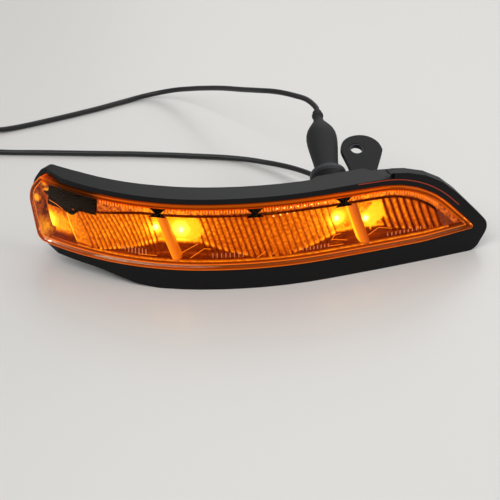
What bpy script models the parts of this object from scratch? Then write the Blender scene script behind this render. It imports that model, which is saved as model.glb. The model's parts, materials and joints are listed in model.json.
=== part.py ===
# Door mirror turn signal lamp with a courtesy lamp, built from separate pieces.
# The body is laid out on a flat sheet first: x runs along the lamp, y is the depth
# behind the lens face, z is the height. bend_point then wraps the sheet onto the
# lamp's plan curve, which is made of tangent arcs.
import bpy
import bmesh
from math import atan2, ceil, cos, pi, radians, sin, sqrt, tan
from mathutils import Matrix, Vector

MM = 0.001
FIT_GAP = 0.3 * MM

# Plan curve of the lens face, starting at its foremost point
VERTEX_X = -29.96 * MM
VERTEX_Y = -53.8 * MM
LEFT_RADIUS = 142.0 * MM
RIGHT_RADIUS = 216.0 * MM
RIGHT_ARC = 65.0 * MM
TIP_RADIUS = 1500.0 * MM
FACE_LEAN = 6.5 * MM
LEAN_HEIGHT = 35.0 * MM
BODY_DEPTH = 20.0 * MM

# Clear lens
LENS_LEFT = -92.5 * MM
LENS_BOTTOM = 11.0 * MM
LENS_HEIGHT = 35.0 * MM
LENS_TIP_RISE = 2.0 * MM
LENS_SHOULDER = 119.0 * MM
LENS_SHOULDER_RADIUS = 52.0 * MM
LENS_SHOULDER_DROP = 1.0 * MM
LENS_TIP_LENGTH = 30.5 * MM
LENS_RIGHT = LENS_SHOULDER + LENS_TIP_LENGTH
LENS_TOP_RUN = 60.0 * MM
LENS_TOP_RADIUS = 200.0 * MM
LENS_BOTTOM_RADIUS = 60.0 * MM
LENS_CORNER_LOW = 7.0 * MM
LENS_CORNER_HIGH = 4.0 * MM
LENS_END_BULGE = 10.5 * MM
LENS_END_DROP = 10.5 * MM
LENS_END_LEVEL = LENS_HEIGHT - LENS_END_DROP
LENS_END_RADIUS = 11.0 * MM
LENS_END_TOP = 2.0 * MM
LENS_TIP_RADIUS = 1.4 * MM
LENS_WALL = 2.2 * MM
LENS_SKIRT = 8.0 * MM
LENS_EDGE_ROUND = 1.4 * MM

# Black housing
HOUSING_WALL = 2.2 * MM
HOUSING_TOP_RIM = 3.0 * MM
HOUSING_LEFT_RIM = 1.5 * MM
RIM_SETBACK = 1.5 * MM
SEAT_CLEARANCE = 0.4 * MM
SEAT_LEDGE = 2.0 * MM
LEFT_RISE = 8.0 * MM
LEFT_RISE_RUN = 40.0 * MM
LEFT_SWEEP_RUN = 66.0 * MM
LEFT_END_DEPTH = 18.0 * MM
LEFT_RIM_DEPTH = 5.6 * MM
LEFT_RIM_SWEEP = 13.0 * MM
TIP_MARGIN = 3.6 * MM
TIP_CORNER = 9.0 * MM
TIP_TAPER = 44.0 * MM
TIP_SWEEP = 103.0 * MM
FLANGE_MARGIN = 8.5 * MM
FLANGE_START = LENS_SHOULDER - 15.0 * MM
FLANGE_THICKNESS = 8.0 * MM
FLANGE_STEP = 2.4 * MM
POCKET_PITCH = 19.0 * MM
POCKET_RIB = 2.2 * MM
POCKET_FLOOR = 2.4 * MM
POCKET_ROOF = 1.4 * MM
POCKET_DEPTH_START = 6.0 * MM

# Fluted reflector
REFLECTOR_WALL = 1.1 * MM
REFLECTOR_END = LENS_RIGHT - 19.0 * MM
FIRST_CREST = LENS_LEFT + 22.5 * MM
FACE_ROUND = 3.4 * MM
LAMP_ZONE = 14.0 * MM
REFLECTOR_FRONT = 3.2 * MM
LEFT_DIP = 4.0 * MM
LEFT_DIP_START = LENS_LEFT + 15.5 * MM
LEFT_DIP_RUN = 17.0 * MM
FLUTE_LEAN = radians(18.0)
FLUTE_HEIGHT = 0.9 * MM
FLUTE_STEPS = 4
LAMP_DEPTH = 12.0 * MM
CREST_DEPTH = 5.8 * MM
BOWL = 1.2 * MM
FLOOR_RISE = 0.6 * MM

# Trim strip above the reflector
TRIM_GAP = 0.4 * MM
TRIM_WIDTH = 3.4 * MM
TRIM_FRONT = 3.5 * MM
TRIM_THICKNESS = 3.0 * MM
TRIM_START = LENS_LEFT + 30.0 * MM
TRIM_RIB_PITCH = 3.2 * MM
TRIM_RIB_HEIGHT = 0.5 * MM
CLIP_WIDTH = 9.0 * MM
CLIP_THICKNESS = 0.6 * MM

# Light sources
LEFT_POST_OFFSET = 76.5 * MM
RIGHT_POST_OFFSET = 34.5 * MM
POST_POSITIONS = (LENS_LEFT + LEFT_POST_OFFSET, LENS_SHOULDER - RIGHT_POST_OFFSET)
POST_RADIUS = 3.9 * MM
LED_OFFSETS = (-9.8 * MM, 6.3 * MM)
LED_BOARD_SHIFT = (LED_OFFSETS[0] + LED_OFFSETS[1]) / 2.0
LED_SIZE = 3.4 * MM
LED_THICKNESS = 2.6 * MM
LED_LEVEL = 28.0 * MM
BOARD_THICKNESS = 1.0 * MM
BOARD_SEAT_GAP = 0.8 * MM
LED_BOARD_SIZE = (23.0 * MM, 12.0 * MM)

# Driver board
DRIVER_CENTRE = (POST_POSITIONS[0] + POST_POSITIONS[1]) / 2.0 - 1.25 * MM
DRIVER_SIZE = (36.0 * MM, 20.0 * MM)
DRIVER_LEVEL = 28.0 * MM
DRIVER_DEPTH = 13.4 * MM
SCREW_RADIUS = 1.1 * MM
SCREW_HEAD_RADIUS = 2.1 * MM
SCREW_HEAD_HEIGHT = 1.1 * MM

# End light at the left
END_PANEL_DEPTH = 7.4 * MM
END_LED_POSITION = LENS_LEFT + 10.9 * MM
END_LED_LEVEL = 22.0 * MM
END_PANEL_TOP = LENS_BOTTOM + LENS_HEIGHT - 12.0 * MM
GUIDE_WIDTH = 4.2 * MM
BEZEL_START = 3.6 * MM

# Courtesy lamp chamber behind the body
EAR_OFFSET = 12.0 * MM
EAR_POSITION = LENS_SHOULDER - EAR_OFFSET
CHAMBER_WIDTH = 34.0 * MM
CHAMBER_RIGHT = EAR_POSITION - 4.0 * MM
CHAMBER_LEFT = CHAMBER_RIGHT - CHAMBER_WIDTH
CHAMBER_BACK = 40.0 * MM
CHAMBER_FRONT = 19.6 * MM
CHAMBER_HEIGHT = 37.0 * MM
CHAMBER_CORNER = 5.0 * MM
WINDOW_THICKNESS = 2.0 * MM
WINDOW_LEDGE = 1.0 * MM
WINDOW_RECESS = 0.8 * MM

# Bulb holder port, its axis rising towards the rear
PORT_POSITION = CHAMBER_LEFT + 12.6 * MM
PORT_DEPTH = CHAMBER_BACK + 0.23 * MM
PORT_LEVEL = 25.6 * MM
PORT_RISE = radians(18.06)
PORT_SWING = radians(11.6)
PORT_RADIUS = 7.8 * MM
PORT_WALL = 2.7 * MM
PORT_LENGTH = 8.0 * MM
HOLDER_CLEARANCE = 0.3 * MM
HOLDER_FLANGE_RADIUS = 9.8 * MM
HOLDER_FLANGE = 2.0 * MM
SEAL_THICKNESS = 1.4 * MM
HOLDER_TAIL_RADIUS = 4.6 * MM
HOLDER_TAIL = 10.0 * MM
HOLDER_REACH = 6.5 * MM
BULB_RADIUS = 4.6 * MM
BULB_LENGTH = 16.0 * MM
BOOT_LENGTH = 45.0 * MM
BOOT_BELLY = 8.4 * MM
BOOT_MOUTH = 6.3 * MM
BOOT_NECK = 2.5 * MM

# Screw ear on an arm behind the body, rising towards the rear
EAR_REACH = 58.0 * MM
EAR_RADIUS = 11.2 * MM
EAR_HOLE_RADIUS = 3.3 * MM
EAR_HOLE_SHIFT = (-2.6 * MM, 2.2 * MM)
EAR_THICKNESS = 2.6 * MM
EAR_LEVEL = 36.2 * MM
EAR_TILT = radians(14.0)
EAR_ROUND_UP = 1.2 * MM
EAR_NARROW = 2.0 * MM
EAR_TAPER = 16.0 * MM
EAR_RIB_HEIGHT = 6.0 * MM
BUSH_WALL = 0.7 * MM

# Leads: each route is (x, y) from where its lead leaves, with the height over the floor
CABLE_RADIUS = 1.5 * MM
GLAND_POSITION = CHAMBER_LEFT - 15.0 * MM
GLAND_LEVEL = 17.5 * MM
GLAND_RADIUS = 3.4 * MM
GLAND_TAIL = 12.0 * MM
PLUG_SIZE = (21.0 * MM, 11.0 * MM, 8.0 * MM)
LAMP_CABLE_ROUTE = (
    (-0.2, 10.2, 16.0), (2.8, 21.2, 12.2), (11.1, 33.4, 8.6), (16.1, 47.4, 8.4), (17.2, 57.2, 8.0),
    (12.8, 64.2, 7.0), (6.8, 70.0, 6.0), (-1.4, 76.8, 4.6), (-9.7, 82.0, 3.4), (-21.1, 87.2, 2.4),
    (-32.6, 90.6, 1.8), (-49.9, 92.5, 1.7), (-67.2, 93.9, 1.7), (-87.4, 95.1, 1.7), (-107.7, 95.6, 1.7),
    (-136.6, 96.5, 1.7), (-165.6, 97.3, 1.7), (-173.6, 97.4, 2.6), (-180.6, 97.5, 4.0),
    (-187.6, 97.5, 4.3),
)
COURTESY_CABLE_ROUTE = (
    (-2.2, 6.6, 45.6), (-8.7, 11.6, 46.2), (-19.7, 19.8, 44.9), (-28.3, 28.0, 41.4),
    (-36.8, 38.5, 36.2), (-48.4, 53.8, 28.8), (-60.5, 68.9, 21.0), (-72.9, 82.4, 13.2),
    (-84.2, 91.0, 7.4), (-94.8, 94.0, 3.6), (-105.1, 92.0, 1.9), (-115.7, 86.4, 1.6),
    (-127.4, 79.5, 1.6), (-141.8, 71.9, 1.6), (-156.1, 64.8, 1.6), (-170.2, 58.1, 1.6),
    (-184.3, 52.4, 2.2), (-192.5, 50.2, 3.7), (-200.5, 49.6, 4.3),
)

parts = bpy.data.collections.new("mirror_turn_signal_lamp")
cutters = bpy.data.collections.new("cutters")


def clear_scene():
    for old in list(bpy.data.objects):
        bpy.data.objects.remove(old, do_unlink=True)
    bpy.context.scene.collection.children.link(parts)
    bpy.context.scene.collection.children.link(cutters)


def material(name, colour, roughness, metallic=0.0):
    made = bpy.data.materials.get(name)
    if made is None:
        made = bpy.data.materials.new(name)
        made.use_nodes = True
        shader = made.node_tree.nodes["Principled BSDF"]
        shader.inputs["Base Color"].default_value = (*colour, 1.0)
        shader.inputs["Roughness"].default_value = roughness
        shader.inputs["Metallic"].default_value = metallic
    return made


def black_plastic():
    return material("black_abs", (0.012, 0.012, 0.013), 0.45)


def clear_plastic():
    return material("clear_polycarbonate", (0.90, 0.55, 0.22), 0.08)


def metallised_plastic():
    return material("metallised_plastic", (0.95, 0.55, 0.18), 0.15, 1.0)


def board_material():
    return material("circuit_board", (0.02, 0.16, 0.06), 0.5)


def rubber():
    return material("black_rubber", (0.018, 0.018, 0.018), 0.75)


def zinc_steel():
    return material("zinc_steel", (0.72, 0.72, 0.74), 0.3, 1.0)


# Plan curve and bending


def walk_arc(x, y, heading, radius, length):
    turned = heading + length / radius
    return (x + radius * (sin(turned) - sin(heading)), y + radius * (cos(heading) - cos(turned)), turned)


def plan_point(along):
    if along < 0.0:
        x, y, heading = walk_arc(0.0, 0.0, 0.0, LEFT_RADIUS, -along)
        return -x, y, -heading
    x, y, heading = walk_arc(0.0, 0.0, 0.0, RIGHT_RADIUS, min(along, RIGHT_ARC))
    if along > RIGHT_ARC:
        x, y, heading = walk_arc(x, y, heading, TIP_RADIUS, along - RIGHT_ARC)
    return x, y, heading


def bend_point(flat):
    x, y, heading = plan_point(flat[0])
    fade = max(0.0, 1.0 - flat[1] / BODY_DEPTH)
    depth = flat[1] + FACE_LEAN * (flat[2] - LENS_BOTTOM) / LEAN_HEIGHT * fade
    return Vector((VERTEX_X + x - depth * sin(heading), VERTEX_Y + y + depth * cos(heading), flat[2]))


def slice_stations():
    stations = [-index * 9.0 * MM for index in range(1, 12)]
    stations += [index * 11.0 * MM for index in range(0, 7)]
    return stations + [95.0 * MM, 125.0 * MM]


def bend_mesh(mesh, sliced=True):
    shape = bmesh.new()
    shape.from_mesh(mesh)
    if sliced:
        bmesh.ops.dissolve_limit(shape, angle_limit=radians(0.2), verts=shape.verts, edges=shape.edges)
        for station in slice_stations():
            bmesh.ops.bisect_plane(shape, geom=shape.verts[:] + shape.edges[:] + shape.faces[:],
                                   dist=0.00001 * MM, plane_co=(station, 0, 0), plane_no=(1, 0, 0))
    bmesh.ops.triangulate(shape, faces=shape.faces)
    for vert in shape.verts:
        vert.co = bend_point(vert.co)
    bmesh.ops.recalc_face_normals(shape, faces=shape.faces)
    shape.to_mesh(mesh)
    shape.free()


# Outlines: corners are (x, y, radius), anticlockwise


def offset_corners(corners, distance):
    moved = []
    count = len(corners)
    for index, (x, y, radius) in enumerate(corners):
        before = corners[index - 1]
        after = corners[(index + 1) % count]
        first = Vector((x - before[0], y - before[1])).normalized()
        second = Vector((after[0] - x, after[1] - y)).normalized()
        normal_a = Vector((first.y, -first.x))
        normal_b = Vector((second.y, -second.x))
        mitre = (normal_a + normal_b) / (1.0 + normal_a.dot(normal_b))
        grown = max(radius + distance, 0.4 * MM) if radius > 0.0 else 0.0
        moved.append((x + mitre.x * distance, y + mitre.y * distance, grown))
    return moved


def rounded(corners, step_angle=radians(13.0)):
    points = []
    count = len(corners)
    for index, (x, y, radius) in enumerate(corners):
        if radius <= 0.0:
            points.append((x, y))
            continue
        before = corners[index - 1]
        after = corners[(index + 1) % count]
        first = Vector((x - before[0], y - before[1])).normalized()
        second = Vector((after[0] - x, after[1] - y)).normalized()
        turn = atan2(first.x * second.y - first.y * second.x, first.dot(second))
        reach = radius * tan(abs(turn) / 2.0)
        start = Vector((x, y)) - first * reach
        side = Vector((-first.y, first.x)) * (1.0 if turn > 0.0 else -1.0)
        centre = start + side * radius
        steps = max(1, ceil(abs(turn) / step_angle))
        for step in range(steps + 1):
            angle = turn * step / steps
            arm = Matrix.Rotation(angle, 2) @ (start - centre)
            points.append((centre.x + arm.x, centre.y + arm.y))
    return points


def lens_corners():
    bottom = LENS_BOTTOM
    top = LENS_BOTTOM + LENS_HEIGHT
    return [
        (LENS_LEFT, bottom, LENS_CORNER_LOW),
        (LENS_SHOULDER, bottom, LENS_BOTTOM_RADIUS),
        (LENS_RIGHT, bottom + LENS_TIP_RISE, LENS_TIP_RADIUS),
        (LENS_SHOULDER, top - LENS_SHOULDER_DROP, LENS_SHOULDER_RADIUS),
        (LENS_SHOULDER - LENS_TOP_RUN, top, LENS_TOP_RADIUS),
        (LENS_LEFT - LENS_END_TOP, top, LENS_CORNER_HIGH),
        (LENS_LEFT - LENS_END_BULGE, bottom + LENS_END_LEVEL, LENS_END_RADIUS),
    ]


def housing_corners():
    top = LENS_BOTTOM + LENS_HEIGHT + HOUSING_TOP_RIM
    left = LENS_LEFT - HOUSING_LEFT_RIM
    right = LENS_RIGHT + TIP_MARGIN
    return [
        (left, LEFT_RISE, 9.0 * MM),
        (left + LEFT_RISE_RUN, LEFT_RISE * 0.75, LEFT_RISE_RUN),
        (left + LEFT_SWEEP_RUN, 0.0, LEFT_SWEEP_RUN * 0.75),
        (right - TIP_CORNER, 0.0, 7.0 * MM),
        (right, LENS_BOTTOM + LENS_TIP_RISE, 4.0 * MM),
        (LENS_SHOULDER + 2.4 * MM, top, LENS_SHOULDER_RADIUS),
        (left - LENS_END_TOP, top, LENS_CORNER_HIGH + HOUSING_LEFT_RIM),
        (left - LENS_END_BULGE, LENS_BOTTOM + LENS_END_LEVEL + HOUSING_LEFT_RIM,
         LENS_END_RADIUS + HOUSING_LEFT_RIM),
    ]


def flange_corners():
    top = LENS_BOTTOM + LENS_HEIGHT + HOUSING_TOP_RIM + FLANGE_STEP
    right = LENS_RIGHT + FLANGE_MARGIN
    return [
        (FLANGE_START, 0.0, 0.0),
        (right - TIP_CORNER, 0.0, 8.0 * MM),
        (right, LENS_BOTTOM + LENS_TIP_RISE, 6.5 * MM),
        (LENS_SHOULDER + 5.0 * MM, top, LENS_SHOULDER_RADIUS),
        (FLANGE_START, top, 0.0),
    ]


def body_plan_corners():
    left = LENS_LEFT - HOUSING_LEFT_RIM
    right = LENS_RIGHT + TIP_MARGIN
    beyond = left - LENS_END_BULGE - 1.0 * MM
    return [
        (beyond, RIM_SETBACK, 0.0),
        (right + 1.0 * MM, RIM_SETBACK, 0.0),
        (right + 1.0 * MM, BODY_DEPTH * 0.4, 2.0 * MM),
        (right - TIP_TAPER, BODY_DEPTH * 0.85, TIP_TAPER * 1.4),
        (right - TIP_SWEEP, BODY_DEPTH * 0.95, TIP_SWEEP * 2.0),
        (left + LEFT_SWEEP_RUN + 8.0 * MM, BODY_DEPTH, TIP_SWEEP * 2.0),
        (left + LEFT_END_DEPTH, BODY_DEPTH * 0.85, LEFT_END_DEPTH * 0.8),
        (beyond, BODY_DEPTH * 0.6, 3.0 * MM),
    ]


def upper_line(inset):
    # the lens top edge moved inwards, with its end line carried on below the tip
    lens = lens_corners()
    tip, shoulder = lens[2], lens[3]
    slope = ((tip[0] - shoulder[0]) / LENS_HEIGHT, (tip[1] - shoulder[1]) / LENS_HEIGHT)
    far_tip = (tip[0] + slope[0] * LENS_HEIGHT, tip[1] + slope[1] * LENS_HEIGHT, 0.0)
    floor = far_tip[1] - LENS_HEIGHT
    corners = [(LENS_LEFT, floor, 0.0), (far_tip[0], floor, 0.0), far_tip]
    return offset_corners(corners + lens[3:], -inset)


def upper_edge(corners, along):
    best = None
    points = rounded(corners)
    for index, (x, z) in enumerate(points):
        before_x, before_z = points[index - 1]
        low, high = min(x, before_x), max(x, before_x)
        if low <= along <= high and high - low > 0.001 * MM:
            level = before_z + (z - before_z) * (along - before_x) / (x - before_x)
            best = level if best is None else max(best, level)
    return best


# Solids


def evaluated_mesh(source):
    bpy.context.view_layer.update()
    graph = bpy.context.evaluated_depsgraph_get()
    mesh = bpy.data.meshes.new_from_object(source.evaluated_get(graph), depsgraph=graph)
    mesh.transform(source.matrix_world)
    return mesh


def to_solid(source):
    mesh = evaluated_mesh(source)
    name = source.name
    bpy.data.objects.remove(source, do_unlink=True)
    shape = bmesh.new()
    shape.from_mesh(mesh)
    bmesh.ops.remove_doubles(shape, verts=shape.verts, dist=0.00001)
    bmesh.ops.dissolve_degenerate(shape, edges=shape.edges, dist=0.000002)
    bmesh.ops.recalc_face_normals(shape, faces=shape.faces)
    shape.to_mesh(mesh)
    shape.free()
    solid = bpy.data.objects.new(name, mesh)
    cutters.objects.link(solid)
    return solid


def outline_solid(outline, low, high, upright=True):
    # upright: the outline lies in x and z and is extruded in depth from low to high
    curve = bpy.data.curves.new("outline", "CURVE")
    curve.dimensions = "2D"
    curve.fill_mode = "BOTH"
    curve.extrude = (high - low) / 2.0
    spline = curve.splines.new("POLY")
    spline.points.add(len(outline) - 1)
    for point, (x, y) in zip(spline.points, outline):
        point.co = (x, y, 0.0, 1.0)
    spline.use_cyclic_u = True
    holder = bpy.data.objects.new("outline", curve)
    cutters.objects.link(holder)
    middle = (low + high) / 2.0
    if upright:
        holder.rotation_euler.x = pi / 2.0
        holder.location.y = middle
    else:
        holder.location.z = middle
    return to_solid(holder)


def plan_solid(outline, low, high):
    return outline_solid(outline, low, high, upright=False)


def box_solid(low, high, bevel=0.0, segments=2):
    size = [high[axis] - low[axis] for axis in range(3)]
    centre = [(high[axis] + low[axis]) / 2.0 for axis in range(3)]
    mesh = bpy.data.meshes.new("box")
    shape = bmesh.new()
    bmesh.ops.create_cube(shape, size=1.0)
    bmesh.ops.scale(shape, vec=size, verts=shape.verts)
    if bevel > 0.0:
        bmesh.ops.bevel(shape, geom=shape.edges[:], offset=bevel, segments=segments,
                        affect="EDGES", profile=0.5)
    bmesh.ops.translate(shape, vec=centre, verts=shape.verts)
    shape.to_mesh(mesh)
    shape.free()
    made = bpy.data.objects.new("box", mesh)
    cutters.objects.link(made)
    return made


def cylinder_solid(radius, start, end, sides=24, end_radius=None):
    axis = Vector(end) - Vector(start)
    mesh = bpy.data.meshes.new("cylinder")
    shape = bmesh.new()
    bmesh.ops.create_cone(shape, cap_ends=True, segments=sides, radius1=radius,
                          radius2=radius if end_radius is None else end_radius, depth=axis.length)
    turn = Vector((0, 0, 1)).rotation_difference(axis.normalized()).to_matrix().to_4x4()
    place = Matrix.Translation((Vector(start) + Vector(end)) / 2.0) @ turn
    bmesh.ops.transform(shape, matrix=place, verts=shape.verts)
    shape.to_mesh(mesh)
    shape.free()
    made = bpy.data.objects.new("cylinder", mesh)
    cutters.objects.link(made)
    return made


def turned_solid(profile, place, sides=24):
    # profile: (radius, height) pairs down the outer side from the top, closed on the axis or as a ring
    mesh = bpy.data.meshes.new("turned")
    ring = all(radius > 0.0 for radius, height in profile)
    edges = [(index, index + 1) for index in range(len(profile) - 1)]
    if ring:
        edges.append((len(profile) - 1, 0))
    mesh.from_pydata([(radius, 0.0, height) for radius, height in profile], edges, [])
    made = bpy.data.objects.new("turned", mesh)
    cutters.objects.link(made)
    screw = made.modifiers.new("turn", "SCREW")
    screw.steps = sides
    screw.render_steps = sides
    screw.use_merge_vertices = True
    screw.merge_threshold = 0.00005
    made.matrix_world = place
    return to_solid(made)


def tube_solid(points, radius, resolution=2):
    curve = bpy.data.curves.new("tube", "CURVE")
    curve.dimensions = "3D"
    curve.bevel_depth = radius
    curve.bevel_resolution = resolution
    curve.use_fill_caps = True
    spline = curve.splines.new("POLY")
    spline.points.add(len(points) - 1)
    for point, place in zip(spline.points, points):
        point.co = (*place, 1.0)
    holder = bpy.data.objects.new("tube", curve)
    cutters.objects.link(holder)
    return to_solid(holder)


def combine(base, tool, operation):
    modifier = base.modifiers.new("combine", "BOOLEAN")
    modifier.operation = operation
    modifier.solver = "EXACT"
    modifier.object = tool
    made = to_solid(base)
    bpy.data.objects.remove(tool, do_unlink=True)
    return made


def join(base, *tools):
    for tool in tools:
        base = combine(base, tool, "UNION")
    return base


def cut(base, *tools):
    for tool in tools:
        base = combine(base, tool, "DIFFERENCE")
    return base


def keep_common(base, tool):
    return combine(base, tool, "INTERSECT")


def bent(solid, sliced=True):
    bend_mesh(solid.data, sliced)
    return solid


def finish(solid, name, look):
    solid.name = name
    solid.data.name = name
    solid.data.materials.clear()
    solid.data.materials.append(look)
    solid.data.shade_smooth()
    solid.data.set_sharp_from_angle(angle=radians(32.0))
    cutters.objects.unlink(solid)
    parts.objects.link(solid)
    return solid


def port_centre():
    return bend_point((PORT_POSITION, PORT_DEPTH, PORT_LEVEL))


def port_axis():
    heading = plan_point(PORT_POSITION)[2] - PORT_SWING
    return Vector((-sin(heading) * cos(PORT_RISE), cos(heading) * cos(PORT_RISE), sin(PORT_RISE)))


def port_frame():
    turn = Vector((0, 0, 1)).rotation_difference(port_axis()).to_matrix().to_4x4()
    return Matrix.Translation(port_centre()) @ turn


def port_point(along):
    return port_centre() + port_axis() * along


# Housing


def body_shell():
    top = LENS_BOTTOM + LENS_HEIGHT + HOUSING_TOP_RIM
    outer = outline_solid(rounded(housing_corners()), 0.0, BODY_DEPTH + 2.0 * MM)
    plan = plan_solid(rounded(body_plan_corners()), -2.0 * MM, top + 4.0 * MM)
    outer = keep_common(outer, plan)
    flange = outline_solid(rounded(flange_corners()), RIM_SETBACK, RIM_SETBACK + FLANGE_THICKNESS)
    # the rim sweeps back at the left, where the lens's end wall stands free
    far = LENS_LEFT - LENS_END_BULGE - BODY_DEPTH
    sweep = [(far, -BODY_DEPTH), (LENS_LEFT + LEFT_RIM_SWEEP, -BODY_DEPTH),
             (LENS_LEFT + LEFT_RIM_SWEEP, RIM_SETBACK), (LENS_LEFT, LEFT_RIM_DEPTH), (far, LEFT_RIM_DEPTH)]
    return cut(join(outer, flange), plan_solid(sweep, -4.0 * MM, top + 4.0 * MM))


def lens_seat():
    return outline_solid(rounded(offset_corners(lens_corners(), SEAT_CLEARANCE)),
                         -4.0 * MM, LENS_SKIRT + SEAT_CLEARANCE)


def inner_space():
    space = outline_solid(rounded(offset_corners(lens_corners(), -SEAT_LEDGE)),
                          LENS_SKIRT - 1.0 * MM, BODY_DEPTH)
    plan = plan_solid(rounded(offset_corners(body_plan_corners(), -HOUSING_WALL)),
                      LENS_BOTTOM, LENS_BOTTOM + LENS_HEIGHT)
    return keep_common(space, plan)


def lower_pockets():
    pockets = []
    start = LENS_LEFT + 92.0 * MM
    for index in range(8):
        left = start + index * POCKET_PITCH
        right = left + POCKET_PITCH - POCKET_RIB
        in_chamber = right > CHAMBER_LEFT - POCKET_RIB and left < CHAMBER_RIGHT + POCKET_RIB
        if in_chamber or right > LENS_RIGHT - 4.0 * MM:
            continue
        pockets.append(box_solid((left, POCKET_DEPTH_START, POCKET_FLOOR),
                                 (right, BODY_DEPTH + 4.0 * MM,
                                  LENS_BOTTOM - SEAT_CLEARANCE - POCKET_ROOF)))
    return pockets


def chamber_solid():
    front = BODY_DEPTH - 6.0 * MM
    corners = [(CHAMBER_LEFT, front, 0.0), (CHAMBER_RIGHT, front, 0.0),
               (CHAMBER_RIGHT, CHAMBER_BACK, CHAMBER_CORNER), (CHAMBER_LEFT, CHAMBER_BACK, CHAMBER_CORNER)]
    return plan_solid(rounded(corners), 0.0, CHAMBER_HEIGHT)


def chamber_corners():
    wall = HOUSING_WALL
    return [(CHAMBER_LEFT + wall, CHAMBER_FRONT, 1.0 * MM),
            (CHAMBER_RIGHT - wall, CHAMBER_FRONT, 1.0 * MM),
            (CHAMBER_RIGHT - wall, CHAMBER_BACK - wall, CHAMBER_CORNER - wall),
            (CHAMBER_LEFT + wall, CHAMBER_BACK - wall, CHAMBER_CORNER - wall)]


def chamber_space():
    corners = chamber_corners()
    inner = plan_solid(rounded(corners), -1.0 * MM, CHAMBER_HEIGHT - HOUSING_WALL)
    seat = plan_solid(rounded(offset_corners(corners, WINDOW_LEDGE)), -2.0 * MM,
                      WINDOW_RECESS + WINDOW_THICKNESS + FIT_GAP)
    return join(inner, seat)


def ear_frame():
    # the ear's own axes: x across the arm, y up its slope, z out of its top face
    place = Matrix.Translation(bend_point((EAR_POSITION, EAR_REACH, EAR_LEVEL)))
    turn = Matrix.Rotation(plan_point(EAR_POSITION)[2], 4, "Z") @ Matrix.Rotation(EAR_TILT, 4, "X")
    return place @ turn


def ear_arm():
    root = (BODY_DEPTH * 0.7 - EAR_REACH) / cos(EAR_TILT)
    end = EAR_RADIUS + EAR_ROUND_UP
    corners = [(-EAR_RADIUS, root, 0.0), (EAR_NARROW, root, 0.0), (EAR_NARROW, -EAR_TAPER, 4.0 * MM),
               (EAR_RADIUS, -1.5 * MM, 5.0 * MM), (EAR_RADIUS, end, EAR_RADIUS * 0.96),
               (-EAR_RADIUS, end, EAR_RADIUS * 0.96)]
    arm = plan_solid(rounded(corners), -EAR_THICKNESS, 0.0)
    for middle in (EAR_NARROW - 1.6 * MM, 1.6 * MM - EAR_RADIUS):
        low = -EAR_THICKNESS - EAR_RIB_HEIGHT
        outline = [(root, 1.0 * MM - EAR_THICKNESS), (root, low), (-EAR_TAPER - 8.0 * MM, low),
                   (-4.0 * MM, -EAR_THICKNESS - 1.2 * MM), (-4.0 * MM, 1.0 * MM - EAR_THICKNESS)]
        rib = plan_solid(outline, -0.8 * MM, 0.8 * MM)
        rib.data.transform(Matrix(((0, 0, 1, middle), (1, 0, 0, 0), (0, 1, 0, 0), (0, 0, 0, 1))))
        arm = join(arm, rib)
    arm.data.transform(ear_frame())
    # the root ends inside the walls of the body and of the chamber
    bite = HOUSING_WALL * 0.4
    in_body = plan_solid(rounded(offset_corners(body_plan_corners(), bite - HOUSING_WALL)),
                         0.0, LENS_HEIGHT * 2.0)
    in_chamber = plan_solid(rounded(offset_corners(chamber_corners(), bite)),
                            0.0, CHAMBER_HEIGHT - HOUSING_WALL + bite)
    return cut(arm, bent(in_body), bent(in_chamber))


def ear_hole():
    across, along = EAR_HOLE_SHIFT
    frame = ear_frame()
    return cylinder_solid(ear_hole_radius(), frame @ Vector((across, along, -EAR_THICKNESS - 6.0 * MM)),
                          frame @ Vector((across, along, 4.0 * MM)))


def ear_hole_radius():
    return EAR_HOLE_RADIUS + BUSH_WALL + FIT_GAP


def board_pillars():
    pillars = []
    board_back = DRIVER_DEPTH + BOARD_THICKNESS + FIT_GAP
    for place in driver_screw_places():
        pillars.append(cylinder_solid(2.4 * MM, (place[0], board_back, place[1]),
                                      (place[0], BODY_DEPTH - 1.0 * MM, place[1]), sides=12))
    for centre in POST_POSITIONS:
        back = led_board_depth() + BOARD_THICKNESS + BOARD_SEAT_GAP
        pillars.append(box_solid((centre - 2.0 * MM, back, LED_LEVEL - 4.0 * MM),
                                 (centre + 2.0 * MM, BODY_DEPTH - 1.0 * MM, LED_LEVEL + 4.0 * MM)))
    return pillars


def make_housing():
    body = body_shell()
    body = join(body, chamber_solid())
    body = cut(body, lens_seat(), inner_space(), *lower_pockets())
    body = cut(body, chamber_space())
    body = join(body, *board_pillars())
    for place in driver_screw_places():
        body = cut(body, cylinder_solid(SCREW_RADIUS + FIT_GAP, (place[0], DRIVER_DEPTH, place[1]),
                                        (place[0], DRIVER_DEPTH + 3.6 * MM, place[1]), sides=10))
    body = bent(body)
    boss = cylinder_solid(PORT_RADIUS + PORT_WALL, port_point(-3.0 * MM), port_point(PORT_LENGTH), sides=32)
    bore = cylinder_solid(PORT_RADIUS, port_point(-8.0 * MM), port_point(PORT_LENGTH + 4.0 * MM), sides=32)
    gland = gland_frame()
    lead_hole = cylinder_solid(GLAND_RADIUS + FIT_GAP, gland @ Vector((0.0, 0.0, -8.0 * MM)),
                               gland @ Vector((0.0, 0.0, 4.0 * MM)), sides=20)
    body = cut(join(body, ear_arm(), boss), bore, lead_hole, ear_hole())
    finish(body, "housing", black_plastic())


# Lens


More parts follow.
